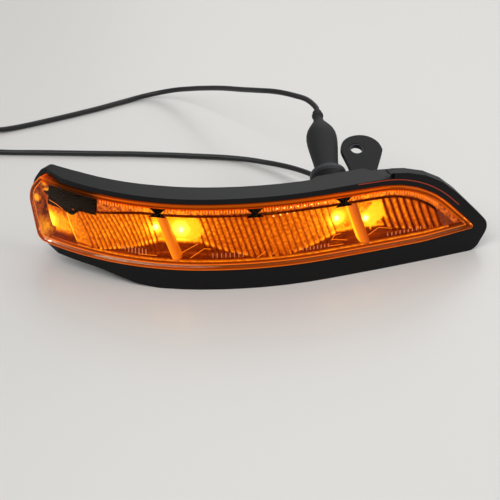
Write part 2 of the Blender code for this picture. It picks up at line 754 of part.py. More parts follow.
def make_lens():
    block = outline_solid(rounded(lens_corners()), 0.0, LENS_SKIRT)
    shape = bmesh.new()
    shape.from_mesh(block.data)
    front = [edge for edge in shape.edges if all(vert.co.y < 0.01 * MM for vert in edge.verts)
             and edge.is_manifold and edge.calc_face_angle(0.0) > 0.5]
    bmesh.ops.bevel(shape, geom=front, offset=LENS_EDGE_ROUND, segments=3, affect="EDGES", profile=0.5)
    shape.to_mesh(block.data)
    shape.free()
    hollow = outline_solid(rounded(offset_corners(lens_corners(), -LENS_WALL)), LENS_WALL,
                           LENS_SKIRT + 2.0 * MM)
    finish(bent(cut(block, hollow)), "lens", clear_plastic())


# Reflector


def smooth_step(value):
    value = min(1.0, max(0.0, value))
    return value * value * (3.0 - 2.0 * value)


def chamber_list():
    # first crest or lamp line, last one, depths there, and how many flutes lie between
    left_post, right_post = POST_POSITIONS
    crest = (left_post + right_post) / 2.0 - 1.2 * MM
    return [
        (FIRST_CREST, left_post - LAMP_ZONE + 2.0 * MM, CREST_DEPTH, LAMP_DEPTH, 14),
        (left_post + LAMP_ZONE, crest, LAMP_DEPTH, CREST_DEPTH, 11),
        (crest, right_post - LAMP_ZONE, CREST_DEPTH, LAMP_DEPTH, 11),
        (right_post + LAMP_ZONE - 1.0 * MM, REFLECTOR_END - 1.0 * MM, LAMP_DEPTH, CREST_DEPTH, 9),
    ]


def reflector_columns():
    # pairs of place along the lamp and depth behind the lens face
    columns = []
    chambers = chamber_list()
    face_start = chambers[0][0] - FACE_ROUND
    for step in range(5):
        angle = pi / 2.0 * step / 5.0
        columns.append((face_start + (1.0 - cos(angle)) * FACE_ROUND,
                        CREST_DEPTH + (1.0 - sin(angle)) * 5.0 * MM))
    for index, (start, end, depth_a, depth_b, count) in enumerate(chambers):
        for step in range(count * FLUTE_STEPS + 1):
            share = step / (count * FLUTE_STEPS)
            phase = (step % FLUTE_STEPS) / FLUTE_STEPS
            ridge = FLUTE_HEIGHT * sin(pi * phase)
            columns.append((start + (end - start) * share, depth_a + (depth_b - depth_a) * share - ridge))
        if index < len(chambers) - 1:
            gap = chambers[index + 1][0] - end
            inner = int(gap / (4.0 * MM))
            for step in range(1, inner):
                columns.append((end + gap * step / inner, depth_b))
    cleaned = [columns[0]]
    for column in columns[1:]:
        if column[0] - cleaned[-1][0] > 0.05 * MM:
            cleaned.append(column)
    return cleaned


def reflector_top(along):
    inset = LENS_WALL + TRIM_GAP + TRIM_WIDTH + REFLECTOR_WALL + 0.5 * MM
    edge = upper_edge(upper_line(inset), along)
    left_dip = LEFT_DIP * (1.0 - smooth_step((along - LEFT_DIP_START) / LEFT_DIP_RUN))
    return edge - left_dip


def reflector_floor(along=0.0):
    rise = LENS_TIP_RISE * max(0.0, along - LENS_SHOULDER + 4.0 * MM) / (LENS_RIGHT - LENS_SHOULDER)
    return LENS_BOTTOM + LENS_WALL + REFLECTOR_WALL + FIT_GAP + rise


def reflector_rows(place, depth):
    # one cross-section of the reflector, from the front lip of the floor to the front lip of the top
    floor = reflector_floor(place)
    middle = (reflector_floor() + LENS_BOTTOM + LENS_HEIGHT) / 2.0

    def leaning(level):
        return place + (middle - level) * tan(FLUTE_LEAN)

    base = floor + FLOOR_RISE
    top = reflector_top(place)
    for attempt in range(6):
        top = (top + reflector_top(leaning(top))) / 2.0
    top = max(top, base + 1.0 * MM)
    rows = [(leaning(floor), REFLECTOR_FRONT, floor)]
    for share in (0.0, 0.5, 1.0):
        level = base + (top - base) * share
        rows.append((leaning(level), depth - BOWL * (2.0 * share - 1.0) ** 2, level))
    rows.append((leaning(top), REFLECTOR_FRONT + 0.6 * MM, top + 0.2 * MM))
    return rows


def make_reflector():
    columns = reflector_columns()
    sections = [reflector_rows(place, depth) for place, depth in columns]
    height = len(sections[0])
    mesh = bpy.data.meshes.new("reflector")
    shape = bmesh.new()
    bmesh.ops.create_grid(shape, x_segments=len(sections) - 1, y_segments=height - 1, size=0.5)
    shape.verts.ensure_lookup_table()
    ordered = sorted(shape.verts, key=lambda vert: (round(vert.co.x, 6), round(vert.co.y, 6)))
    for index, vert in enumerate(ordered):
        vert.co = sections[index // height][index % height]
    bmesh.ops.recalc_face_normals(shape, faces=shape.faces)
    middle_face = min(shape.faces,
                      key=lambda face: abs(face.calc_center_median().x) + face.calc_center_median().z)
    if middle_face.normal.z < 0.0:
        bmesh.ops.reverse_faces(shape, faces=shape.faces)
    shape.to_mesh(mesh)
    shape.free()
    sheet = bpy.data.objects.new("reflector", mesh)
    cutters.objects.link(sheet)
    wall = sheet.modifiers.new("wall", "SOLIDIFY")
    wall.thickness = REFLECTOR_WALL
    wall.offset = -1.0
    solid = to_solid(sheet)
    windows = []
    for place in led_places():
        half = LED_SIZE / 2.0 + 0.5 * MM
        windows.append(box_solid((place - half, LAMP_DEPTH - 4.0 * MM, LED_LEVEL - half),
                                 (place + half, LAMP_DEPTH + 4.0 * MM, LED_LEVEL + half)))
    solid = cut(solid, *windows)
    finish(bent(solid, sliced=False), "reflector", metallised_plastic())


# Trim strip and clips


def trim_band(inner_corners, outer_corners, front, back):
    outer = outline_solid(rounded(outer_corners), front, back)
    inner = outline_solid(rounded(inner_corners), front - 2.0 * MM, back + 2.0 * MM)
    return cut(outer, inner)


def make_trim():
    inset = LENS_WALL + TRIM_GAP
    back = TRIM_FRONT + TRIM_THICKNESS
    band = trim_band(offset_corners(lens_corners(), -inset - TRIM_WIDTH),
                     offset_corners(lens_corners(), -inset), TRIM_FRONT - 1.0 * MM, back)
    left = TRIM_START
    beyond = BODY_DEPTH
    band = cut(band, box_solid((LENS_LEFT - beyond, -beyond, -beyond), (left, beyond, LENS_HEIGHT * 2.0)),
               box_solid((LENS_LEFT - beyond, -beyond, -beyond),
                         (LENS_RIGHT + beyond, beyond, reflector_floor() + TRIM_WIDTH)))
    count = int((LENS_RIGHT - left) / TRIM_RIB_PITCH)
    outline = [(left - 2.0 * MM, back + 1.0 * MM), (left - 2.0 * MM, TRIM_FRONT)]
    for index in range(count):
        start = left + index * TRIM_RIB_PITCH
        outline.append((start, TRIM_FRONT + TRIM_RIB_HEIGHT))
        outline.append((start + TRIM_RIB_PITCH / 2.0, TRIM_FRONT))
    outline.append((LENS_RIGHT + 2.0 * MM, TRIM_FRONT + TRIM_RIB_HEIGHT))
    outline.append((LENS_RIGHT + 2.0 * MM, back + 1.0 * MM))
    ribbed = plan_solid(outline[::-1], 0.0, LENS_HEIGHT * 2.0)
    finish(bent(keep_common(band, ribbed)), "trim_strip", clear_plastic())


def clip_places():
    left_post, right_post = POST_POSITIONS
    return (left_post - 7.0 * MM, (left_post + right_post) / 2.0 - 6.0 * MM, right_post - 8.5 * MM)


def make_clips():
    half = CLIP_WIDTH / 2.0
    waist = 0.9 * MM
    for index, place in enumerate(clip_places()):
        level = upper_edge(upper_line(LENS_WALL + TRIM_GAP + TRIM_WIDTH), place) + FIT_GAP
        outline = [(place - half, level - 2.0 * MM), (place + half, level - 2.0 * MM),
                   (place + half * 0.35, level + 0.3 * MM), (place + half, level + 2.8 * MM),
                   (place - half, level + 2.8 * MM), (place - half * 0.35, level + 0.3 * MM)]
        plate = outline_solid(outline, LENS_WALL + FIT_GAP, LENS_WALL + FIT_GAP + CLIP_THICKNESS)
        finish(bent(plate, sliced=False), "trim_clip_%d" % (index + 1), black_plastic())


# Lamps, posts and boards


def led_places():
    return [centre + offset for centre in POST_POSITIONS for offset in LED_OFFSETS]


def led_board_depth():
    return LAMP_DEPTH + REFLECTOR_WALL + 1.0 * MM


def make_posts():
    for index, centre in enumerate(POST_POSITIONS):
        floor = reflector_floor() + FLOOR_RISE + FIT_GAP + 0.2 * MM
        top = reflector_top(centre) - FIT_GAP - 0.2 * MM
        middle = (reflector_floor() + LENS_BOTTOM + LENS_HEIGHT) / 2.0
        depth = LAMP_DEPTH - BOWL - FIT_GAP
        reach = LENS_HEIGHT
        start = Vector((centre + reach * tan(FLUTE_LEAN), depth, middle - reach))
        end = Vector((centre - reach * tan(FLUTE_LEAN), depth, middle + reach))
        bar = cylinder_solid(POST_RADIUS, start, end, sides=20)
        keep = box_solid((centre - LENS_HEIGHT, REFLECTOR_FRONT, floor),
                         (centre + LENS_HEIGHT, depth, top))
        bar = keep_common(bar, keep)
        finish(bent(bar, sliced=False), "post_cover_%d" % (index + 1), clear_plastic())


def make_boards():
    depth = led_board_depth()
    for index, centre in enumerate(POST_POSITIONS):
        half_x, half_z = LED_BOARD_SIZE[0] / 2.0, LED_BOARD_SIZE[1] / 2.0
        middle = centre + LED_BOARD_SHIFT
        board = box_solid((middle - half_x, depth, LED_LEVEL - half_z),
                          (middle + half_x, depth + BOARD_THICKNESS, LED_LEVEL + half_z))
        finish(bent(board, sliced=False), "led_board_%d" % (index + 1), board_material())
    for index, place in enumerate(led_places()):
        half = LED_SIZE / 2.0
        back = depth - FIT_GAP
        base = box_solid((place - half, back - LED_THICKNESS * 0.6, LED_LEVEL - half),
                         (place + half, back, LED_LEVEL + half))
        dome = cylinder_solid(half * 0.8, (place, back - LED_THICKNESS * 0.5, LED_LEVEL),
                              (place, back - LED_THICKNESS, LED_LEVEL), sides=14, end_radius=half * 0.45)
        finish(bent(join(base, dome), sliced=False), "led_%d" % (index + 1),
               material("amber_led", (1.0, 0.62, 0.12), 0.2))


def driver_screw_places():
    half_x = DRIVER_SIZE[0] / 2.0 - 3.4 * MM
    half_z = DRIVER_SIZE[1] / 2.0 - 3.4 * MM
    return ((DRIVER_CENTRE - half_x, DRIVER_LEVEL + half_z), (DRIVER_CENTRE + half_x, DRIVER_LEVEL - half_z))


def make_driver():
    half_x, half_z = DRIVER_SIZE[0] / 2.0, DRIVER_SIZE[1] / 2.0
    board = box_solid((DRIVER_CENTRE - half_x, DRIVER_DEPTH, DRIVER_LEVEL - half_z),
                      (DRIVER_CENTRE + half_x, DRIVER_DEPTH + BOARD_THICKNESS, DRIVER_LEVEL + half_z))
    for place in driver_screw_places():
        hole = cylinder_solid(SCREW_RADIUS + FIT_GAP, (place[0], DRIVER_DEPTH - 3.0 * MM, place[1]),
                              (place[0], DRIVER_DEPTH + 3.0 * MM, place[1]), sides=12)
        board = cut(board, hole)
    finish(bent(board, sliced=False), "driver_board", board_material())
    for index, place in enumerate(driver_screw_places()):
        top = DRIVER_DEPTH - FIT_GAP
        shank = cylinder_solid(SCREW_RADIUS, (place[0], top - 0.2 * MM, place[1]),
                               (place[0], DRIVER_DEPTH + 3.2 * MM, place[1]), sides=12)
        head = cylinder_solid(SCREW_HEAD_RADIUS, (place[0], top - SCREW_HEAD_HEIGHT, place[1]),
                              (place[0], top, place[1]), sides=16)
        slot = box_solid((place[0] - 1.4 * MM, top - 3.0 * MM, place[1] - 0.3 * MM),
                         (place[0] + 1.4 * MM, top - SCREW_HEAD_HEIGHT + 0.5 * MM, place[1] + 0.3 * MM))
        finish(bent(cut(join(head, shank), slot), sliced=False), "board_screw_%d" % (index + 1),
               zinc_steel())
    make_components(DRIVER_DEPTH - FIT_GAP)


def make_components(surface):
    dark = material("component_epoxy", (0.02, 0.02, 0.02), 0.35)
    for index, offset in enumerate((-6.0 * MM, 0.0)):
        centre = DRIVER_CENTRE + offset
        body = box_solid((centre - 1.6 * MM, surface - 1.0 * MM, DRIVER_LEVEL + 1.0 * MM),
                         (centre + 1.6 * MM, surface, DRIVER_LEVEL + 7.0 * MM), bevel=0.3 * MM, segments=1)
        finish(bent(body, sliced=False), "resistor_%d" % (index + 1), dark)
    diode = cylinder_solid(1.3 * MM, (DRIVER_CENTRE - 9.0 * MM, surface - 1.3 * MM, DRIVER_LEVEL - 5.0 * MM),
                           (DRIVER_CENTRE - 3.0 * MM, surface - 1.3 * MM, DRIVER_LEVEL - 5.0 * MM), sides=14)
    finish(bent(diode, sliced=False), "rectifier_diode", dark)
    case = cylinder_solid(2.3 * MM, (DRIVER_CENTRE + 6.5 * MM, surface, DRIVER_LEVEL + 2.0 * MM),
                          (DRIVER_CENTRE + 6.5 * MM, surface - 3.0 * MM, DRIVER_LEVEL + 2.0 * MM), sides=20)
    finish(bent(case, sliced=False), "smoothing_capacitor",
           material("aluminium_can", (0.75, 0.76, 0.78), 0.3, 1.0))


def make_jumpers():
    look = material("wire_insulation", (0.45, 0.03, 0.02), 0.5)
    radius = 0.6 * MM
    depth = DRIVER_DEPTH + BOARD_THICKNESS + FIT_GAP + radius + 0.3 * MM
    level = DRIVER_LEVEL - 1.0 * MM
    edge = LED_BOARD_SIZE[0] / 2.0 + FIT_GAP
    end_depth = led_board_depth() + BOARD_THICKNESS / 2.0
    left_board, right_board = (centre + LED_BOARD_SHIFT for centre in POST_POSITIONS)
    runs = (("jumper_wire_1", DRIVER_CENTRE - 12.0 * MM, left_board + edge),
            ("jumper_wire_2", DRIVER_CENTRE + 8.0 * MM, right_board - edge))
    for name, start, end in runs:
        flat = []
        count = 10
        for index in range(count + 1):
            share = index / count
            along = start + (end - start) * share
            flat.append((along, depth + (end_depth - depth) * share, level + 2.5 * MM * smooth_step(share)))
        finish(tube_solid([bend_point(point) for point in flat], radius), name, look)


# End light at the left


def end_band(width, depth_low, depth_high):
    inset = LENS_WALL + TRIM_GAP
    band = trim_band(offset_corners(lens_corners(), -inset - width), offset_corners(lens_corners(), -inset),
                     depth_low, depth_high)
    far = LENS_RIGHT + BODY_DEPTH
    right = LENS_LEFT + inset + width + 0.2 * MM
    return cut(band, box_solid((right, -BODY_DEPTH, -BODY_DEPTH), (far, BODY_DEPTH, LENS_HEIGHT * 2.0)),
               box_solid((LENS_LEFT + BEZEL_START - FIT_GAP, -BODY_DEPTH, END_PANEL_TOP),
                         (far, BODY_DEPTH, LENS_HEIGHT * 2.0)))


def make_end_light():
    finish(bent(end_band(GUIDE_WIDTH, LENS_WALL + FIT_GAP, LENS_SKIRT - FIT_GAP)), "end_light_guide",
           clear_plastic())
    left = LENS_LEFT + LENS_WALL + TRIM_GAP + GUIDE_WIDTH + 0.5 * MM
    right = chamber_list()[0][0] - 4.6 * MM
    low = reflector_floor() + 1.0 * MM
    high = END_PANEL_TOP
    lean = LENS_END_BULGE * (high - low) / LENS_END_LEVEL
    over_guide = LENS_BOTTOM + LENS_WALL + TRIM_GAP + GUIDE_WIDTH + FIT_GAP
    corners = [(left, low, 1.0 * MM), (right + 4.0 * MM, low, 1.0 * MM), (right - 2.4 * MM, high, 1.0 * MM),
               (left - lean, high, 1.0 * MM), (left, over_guide, 0.0)]
    panel = outline_solid(rounded(corners), END_PANEL_DEPTH, END_PANEL_DEPTH + REFLECTOR_WALL)
    half = LED_SIZE / 2.0
    room = half + 0.5 * MM
    panel = cut(panel, box_solid((END_LED_POSITION - room, 0.0, END_LED_LEVEL - room),
                                 (END_LED_POSITION + room, BODY_DEPTH, END_LED_LEVEL + room)))
    finish(bent(panel, sliced=False), "end_reflector", metallised_plastic())
    board_front = END_PANEL_DEPTH + REFLECTOR_WALL + FIT_GAP
    board = box_solid((END_LED_POSITION - 2.6 * MM, board_front, END_LED_LEVEL - 4.5 * MM),
                      (END_LED_POSITION + 5.4 * MM, board_front + BOARD_THICKNESS, END_LED_LEVEL + 4.5 * MM))
    finish(bent(board, sliced=False), "end_board", board_material())
    back = board_front - FIT_GAP
    lamp = box_solid((END_LED_POSITION - half, back - 2.2 * MM, END_LED_LEVEL - half),
                     (END_LED_POSITION + half, back, END_LED_LEVEL + half), bevel=0.4 * MM, segments=1)
    finish(bent(lamp, sliced=False), "end_led", material("amber_led", (1.0, 0.62, 0.12), 0.2))
    make_end_bezel(LENS_LEFT + BEZEL_START, high)


def make_end_bezel(left, low):
    top = LENS_BOTTOM + LENS_HEIGHT - LENS_WALL - TRIM_GAP
    reach = TRIM_START - 0.6 * MM
    step = chamber_list()[0][0] - 6.5 * MM
    under_strip = top - TRIM_WIDTH + 0.4 * MM
    corners = [(left, low + 0.4 * MM, 1.0 * MM), (step, low + 0.4 * MM, 1.0 * MM),
               (step + 4.0 * MM, under_strip, 3.0 * MM), (reach, under_strip, 0.0),
               (reach, top, 0.0), (left, top, 1.0 * MM)]
    cap = outline_solid(rounded(corners), LENS_WALL + 0.8 * MM, LENS_SKIRT - FIT_GAP)
    hollow = rounded(offset_corners(corners, -1.2 * MM))
    shell = cut(cap, outline_solid(hollow, LENS_WALL + 2.2 * MM, LENS_SKIRT + 2.0 * MM))
    finish(bent(shell, sliced=False), "end_bezel", black_plastic())


# Courtesy lamp


def make_courtesy_lamp():
    wall = HOUSING_WALL - WINDOW_LEDGE + FIT_GAP
    corners = [(CHAMBER_LEFT + wall, CHAMBER_FRONT - WINDOW_LEDGE + FIT_GAP, 2.0 * MM),
               (CHAMBER_RIGHT - wall, CHAMBER_FRONT - WINDOW_LEDGE + FIT_GAP, 2.0 * MM),
               (CHAMBER_RIGHT - wall, CHAMBER_BACK - wall, CHAMBER_CORNER - wall),
               (CHAMBER_LEFT + wall, CHAMBER_BACK - wall, CHAMBER_CORNER - wall)]
    window = plan_solid(rounded(corners), WINDOW_RECESS, WINDOW_RECESS + WINDOW_THICKNESS)
    finish(bent(window), "courtesy_window", clear_plastic())
    make_courtesy_reflector()
    place = port_frame()
    inside = -HOLDER_REACH
    waist = inside - BULB_LENGTH * 0.62
    glass = [(0.0, inside + 3.0 * MM), (BULB_RADIUS * 0.98, inside + 3.0 * MM), (BULB_RADIUS, inside),
             (BULB_RADIUS, waist)]
    for step in range(1, 5):
        angle = pi / 2.0 * step / 5.0
        glass.append((BULB_RADIUS * cos(angle), waist - BULB_RADIUS * sin(angle)))
    glass.append((0.0, waist - BULB_RADIUS))
    finish(turned_solid(glass, place, sides=20), "courtesy_bulb",
           material("bulb_glass", (0.9, 0.9, 0.88), 0.05))
    flange = PORT_LENGTH + FIT_GAP + SEAL_THICKNESS + FIT_GAP
    body = PORT_RADIUS - HOLDER_CLEARANCE
    socket = BULB_RADIUS + FIT_GAP
    shoulder = flange + HOLDER_FLANGE
    holder = [(0.0, shoulder + HOLDER_TAIL), (HOLDER_TAIL_RADIUS, shoulder + HOLDER_TAIL),
              (HOLDER_TAIL_RADIUS, shoulder), (HOLDER_FLANGE_RADIUS, shoulder),
              (HOLDER_FLANGE_RADIUS, flange), (body, flange), (body, inside), (socket, inside),
              (socket, inside + 3.4 * MM), (0.0, inside + 3.4 * MM)]
    finish(turned_solid(holder, place, sides=28), "bulb_holder",
           material("grey_nylon", (0.10, 0.10, 0.11), 0.5))
    low = PORT_LENGTH + FIT_GAP
    high = low + SEAL_THICKNESS
    seal = [(HOLDER_FLANGE_RADIUS, high), (HOLDER_FLANGE_RADIUS, low), (PORT_RADIUS + 0.2 * MM, low),
            (PORT_RADIUS + 0.2 * MM, high)]
    finish(turned_solid(seal, place, sides=28), "holder_seal",
           material("silicone_seal", (0.35, 0.06, 0.04), 0.6))
    start = shoulder + FIT_GAP
    bore = HOLDER_TAIL_RADIUS + FIT_GAP
    length = BOOT_LENGTH
    boot = [(0.0, start + length), (BOOT_NECK, start + length), (BOOT_NECK * 1.05, start + length * 0.86),
            (BOOT_NECK * 1.7, start + length * 0.79), (BOOT_BELLY * 0.86, start + length * 0.68),
            (BOOT_BELLY, start + length * 0.57), (BOOT_BELLY * 0.97, start + length * 0.47),
            (BOOT_BELLY * 0.86, start + length * 0.30), (BOOT_MOUTH * 1.02, start + length * 0.12),
            (BOOT_MOUTH, start + length * 0.05), (BOOT_MOUTH * 1.08, start),
            (bore, start), (bore, start + HOLDER_TAIL + FIT_GAP), (0.0, start + HOLDER_TAIL + FIT_GAP)]
    finish(turned_solid(boot, place, sides=20), "holder_boot", rubber())


def make_courtesy_reflector():
    centre_x = (CHAMBER_LEFT + CHAMBER_RIGHT) / 2.0
    centre_y = (CHAMBER_FRONT + CHAMBER_BACK - HOUSING_WALL) / 2.0
    low = WINDOW_RECESS + WINDOW_THICKNESS + FIT_GAP * 1.5
    half_x = (CHAMBER_RIGHT - CHAMBER_LEFT) / 2.0 - HOUSING_WALL - 0.5 * MM
    half_y = (CHAMBER_BACK - HOUSING_WALL - CHAMBER_FRONT) / 2.0 - 0.5 * MM
    height = CHAMBER_HEIGHT - HOUSING_WALL - low - 1.0 * MM
    mesh = bpy.data.meshes.new("dome")
    shape = bmesh.new()
    bmesh.ops.create_uvsphere(shape, u_segments=20, v_segments=8, radius=1.0)
    below = [vert for vert in shape.verts if vert.co.z < -0.01]
    bmesh.ops.delete(shape, geom=below, context="VERTS")
    bmesh.ops.scale(shape, vec=(half_x, half_y, height), verts=shape.verts)
    bmesh.ops.translate(shape, vec=(centre_x, centre_y, low), verts=shape.verts)
    shape.to_mesh(mesh)
    shape.free()
    dome = bpy.data.objects.new("dome", mesh)
    cutters.objects.link(dome)
    wall = dome.modifiers.new("wall", "SOLIDIFY")
    wall.thickness = 0.8 * MM
    wall.offset = -1.0
    dome = bent(to_solid(dome), sliced=False)
    opening = cylinder_solid(PORT_RADIUS + 0.4 * MM, port_point(-24.0 * MM), port_point(2.0 * MM), sides=24)
    finish(cut(dome, opening), "courtesy_reflector", metallised_plastic())


# Fixings and leads


def make_ear_bush():
    outer = EAR_HOLE_RADIUS + BUSH_WALL
    across, along = EAR_HOLE_SHIFT
    place = ear_frame() @ Matrix.Translation((across, along, -EAR_THICKNESS))
    ring = [(outer, EAR_THICKNESS), (outer, 0.0), (EAR_HOLE_RADIUS, 0.0), (EAR_HOLE_RADIUS, EAR_THICKNESS)]
    finish(turned_solid(ring, place, sides=24), "ear_bush", zinc_steel())


def gland_frame():
    outward = (bend_point((GLAND_POSITION, BODY_DEPTH + 20.0 * MM, GLAND_LEVEL))
               - bend_point((GLAND_POSITION, BODY_DEPTH, GLAND_LEVEL))).normalized()
    wall_face = bend_point((GLAND_POSITION, BODY_DEPTH * 0.975, GLAND_LEVEL))
    turn = Vector((0, 0, 1)).rotation_difference(outward).to_matrix().to_4x4()
    return Matrix.Translation(wall_face) @ turn


def make_gland():
    tail = GLAND_TAIL
    flange = FIT_GAP + 1.6 * MM
    wide = GLAND_RADIUS + 1.6 * MM
    gland = [(0.0, tail), (CABLE_RADIUS + 0.7 * MM, tail), (GLAND_RADIUS * 0.8, tail * 0.45),
             (GLAND_RADIUS * 0.95, flange), (wide, flange), (wide, FIT_GAP), (GLAND_RADIUS, FIT_GAP),
             (GLAND_RADIUS, -HOUSING_WALL - 0.6 * MM), (GLAND_RADIUS * 0.6, -HOUSING_WALL - 1.0 * MM),
             (0.0, -HOUSING_WALL - 1.0 * MM)]
    finish(turned_solid(gland, gland_frame(), sides=16), "cable_gland", rubber())


def smooth_route(anchors, spacing):
    # an even walk along the centripetal curve through the anchors
    points = [anchors[0] * 2.0 - anchors[1]] + list(anchors) + [anchors[-1] * 2.0 - anchors[-2]]
    fine = []
    for index in range(1, len(points) - 2):
        p0, p1, p2, p3 = points[index - 1:index + 3]
        t1 = sqrt((p1 - p0).length)
        t2 = t1 + sqrt((p2 - p1).length)
        t3 = t2 + sqrt((p3 - p2).length)
        for step in range(24):
            t = t1 + (t2 - t1) * step / 24.0
            a1 = p0 * ((t1 - t) / t1) + p1 * (t / t1)
            a2 = p1 * ((t2 - t) / (t2 - t1)) + p2 * ((t - t1) / (t2 - t1))
            a3 = p2 * ((t3 - t) / (t3 - t2)) + p3 * ((t - t2) / (t3 - t2))
            b1 = a1 * ((t2 - t) / t2) + a2 * (t / t2)
            b2 = a2 * ((t3 - t) / (t3 - t1)) + a3 * ((t - t1) / (t3 - t1))
            fine.append(b1 * ((t2 - t) / (t2 - t1)) + b2 * ((t - t1) / (t2 - t1)))
    fine.append(anchors[-1])
    total = sum((b - a).length for a, b in zip(fine, fine[1:]))
    count = round(total / spacing)
    route = [fine[0]]
    walked = 0.0
    for a, b in zip(fine, fine[1:]):
        walked += (b - a).length
        if walked >= total * len(route) / count and len(route) < count:
            route.append(b)
    route.append(fine[-1])
    return route


def plug_frame(route):
    heading = (route[-1] - route[-2]).normalized()
    side = Vector((0, 0, 1)).cross(heading).normalized()
    up = heading.cross(side)
    turn = Matrix((heading, side, up)).transposed().to_4x4()
    return Matrix.Translation(route[-1] + heading * FIT_GAP) @ turn


def make_plug(name, route):
    length, width, height = PLUG_SIZE
    body = box_solid((4.0 * MM, -width / 2.0, -height / 2.0), (length, width / 2.0, height / 2.0),
                     bevel=0.8 * MM, segments=1)
    collar = cylinder_solid(3.2 * MM, (0.0, 0.0, 0.0), (5.0 * MM, 0.0, 0.0), sides=18)
    latch = box_solid((length * 0.45, -1.8 * MM, height / 2.0 - 0.6 * MM),
                      (length * 0.95, 1.8 * MM, height / 2.0 + 1.4 * MM), bevel=0.4 * MM, segments=1)
    body = join(body, collar, latch)
    mouths = [box_solid((length - 9.0 * MM, side * 2.6 * MM - 1.5 * MM, -2.0 * MM),
                        (length + 2.0 * MM, side * 2.6 * MM + 1.5 * MM, 2.0 * MM)) for side in (-1.0, 1.0)]
    body = cut(body, *mouths)
    body.data.transform(plug_frame(route))
    finish(body, name, black_plastic())
    for index, side in enumerate((-1.0, 1.0)):
        middle = side * 2.6 * MM
        blade = box_solid((length - 8.7 * MM, middle - 1.0 * MM, -0.4 * MM),
                          (length - 2.0 * MM, middle + 1.0 * MM, 0.4 * MM))
        blade.data.transform(plug_frame(route))
        finish(blade, "%s_blade_%d" % (name, index + 1),
               material("tinned_brass", (0.75, 0.66, 0.45), 0.3, 1.0))


def make_leads():
    gland_end = gland_frame() @ Vector((0.0, 0.0, GLAND_TAIL + FIT_GAP))
    boot_end = port_point(PORT_LENGTH + SEAL_THICKNESS + HOLDER_FLANGE + BOOT_LENGTH + FIT_GAP * 4.0)
    gland_axis = (gland_frame().to_3x3() @ Vector((0.0, 0.0, 1.0))).normalized()
    ends = (("lamp_cable", gland_end, gland_axis, LAMP_CABLE_ROUTE, "lamp_plug"),
            ("courtesy_cable", boot_end, port_axis(), COURTESY_CABLE_ROUTE, "courtesy_plug"))
    for name, start, heading, anchors, plug in ends:
        anchors = [Vector((start.x + x * MM, start.y + y * MM, level * MM)) for x, y, level in anchors]
        route = [start] + smooth_route([start + heading * CABLE_RADIUS * 2.0] + anchors, CABLE_RADIUS * 5.6)
        finish(tube_solid(route, CABLE_RADIUS), name, rubber())
        make_plug(plug, route)


clear_scene()
make_housing()
make_lens()
make_reflector()
make_trim()
make_clips()
make_posts()
make_boards()
make_driver()
make_jumpers()
make_end_light()
make_courtesy_lamp()
make_ear_bush()
make_gland()
make_leads()
print("nodes", len(parts.objects))
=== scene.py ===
import json
from math import atan2, ceil, cos, hypot, pi, radians, sin, sqrt, tan

import bmesh
import bpy
from mathutils import Matrix, Vector


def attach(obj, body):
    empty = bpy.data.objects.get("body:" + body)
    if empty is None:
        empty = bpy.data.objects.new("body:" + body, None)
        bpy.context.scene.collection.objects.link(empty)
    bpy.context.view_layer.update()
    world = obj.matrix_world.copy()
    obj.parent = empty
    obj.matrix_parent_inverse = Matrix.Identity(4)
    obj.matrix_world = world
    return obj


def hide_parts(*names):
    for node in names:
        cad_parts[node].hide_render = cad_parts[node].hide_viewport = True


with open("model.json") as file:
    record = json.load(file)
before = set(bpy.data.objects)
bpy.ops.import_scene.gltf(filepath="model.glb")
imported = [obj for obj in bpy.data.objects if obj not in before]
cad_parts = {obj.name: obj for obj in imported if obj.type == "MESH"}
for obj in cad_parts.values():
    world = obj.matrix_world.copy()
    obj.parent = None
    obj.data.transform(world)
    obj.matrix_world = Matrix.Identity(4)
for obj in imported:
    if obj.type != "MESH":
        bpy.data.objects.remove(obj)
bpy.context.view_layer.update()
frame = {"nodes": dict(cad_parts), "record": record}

nodes = frame["nodes"]
slots = {item["node"]: item["material_slot"] for item in frame["record"]["subparts"]}
mm = 0.001

# The lamp as it lies on a flat sheet, in mm: x along the lamp, y depth behind the lens's face, z height

body = {
    "vertexX": -29.96, "vertexY": -53.8, "leftRadius": 142.0, "rightRadius": 216.0, "rightArc": 65.0,
    "tipRadius": 1500.0, "faceLean": 6.5, "leanHeight": 35.0, "depth": 20.0,
}
lensSize = {
    "left": -92.5, "right": 149.5, "bottom": 11.0, "height": 35.0, "wall": 2.2, "skirt": 8.0,
    "cornerLow": 7.0, "lowRadius": 60.0, "tipRise": 2.0, "tipRadius": 1.4,
    "shoulder": 119.0, "shoulderDrop": 1.0, "shoulderRadius": 52.0, "topBreak": 60.0, "topRadius": 200.0,
    "cornerHigh": 4.0, "endTop": 2.0, "endBulge": 10.5, "endLevel": 24.5, "endRadius": 11.0,
}
lensTop = lensSize["bottom"] + lensSize["height"]
lampPlaces = {"posts": (-16.0, 84.5), "leds": (-25.8, -11.5, 74.7, 90.8), "levels": (28.0, 27.4, 27.0, 24.0)}
# what the trim strip and the reflector below it share: both dip towards the left
upperFit = {"stripGap": 0.4, "stripHeight": 3.4, "lipGap": 1.6, "dip": 4.4, "dipSpan": (-28.0, -66.0)}


def linear(hexColour):
    # sRGB hex to linear colour with alpha
    values = [int(hexColour[index:index + 2], 16) / 255.0 for index in (1, 3, 5)]
    return tuple(v / 12.92 if v <= 0.04045 else ((v + 0.055) / 1.055) ** 2.4 for v in values) + (1.0,)


def walkArc(x, y, heading, radius, length):
    turned = heading + length / radius
    return (x + radius * (sin(turned) - sin(heading)), y + radius * (cos(heading) - cos(turned)), turned)


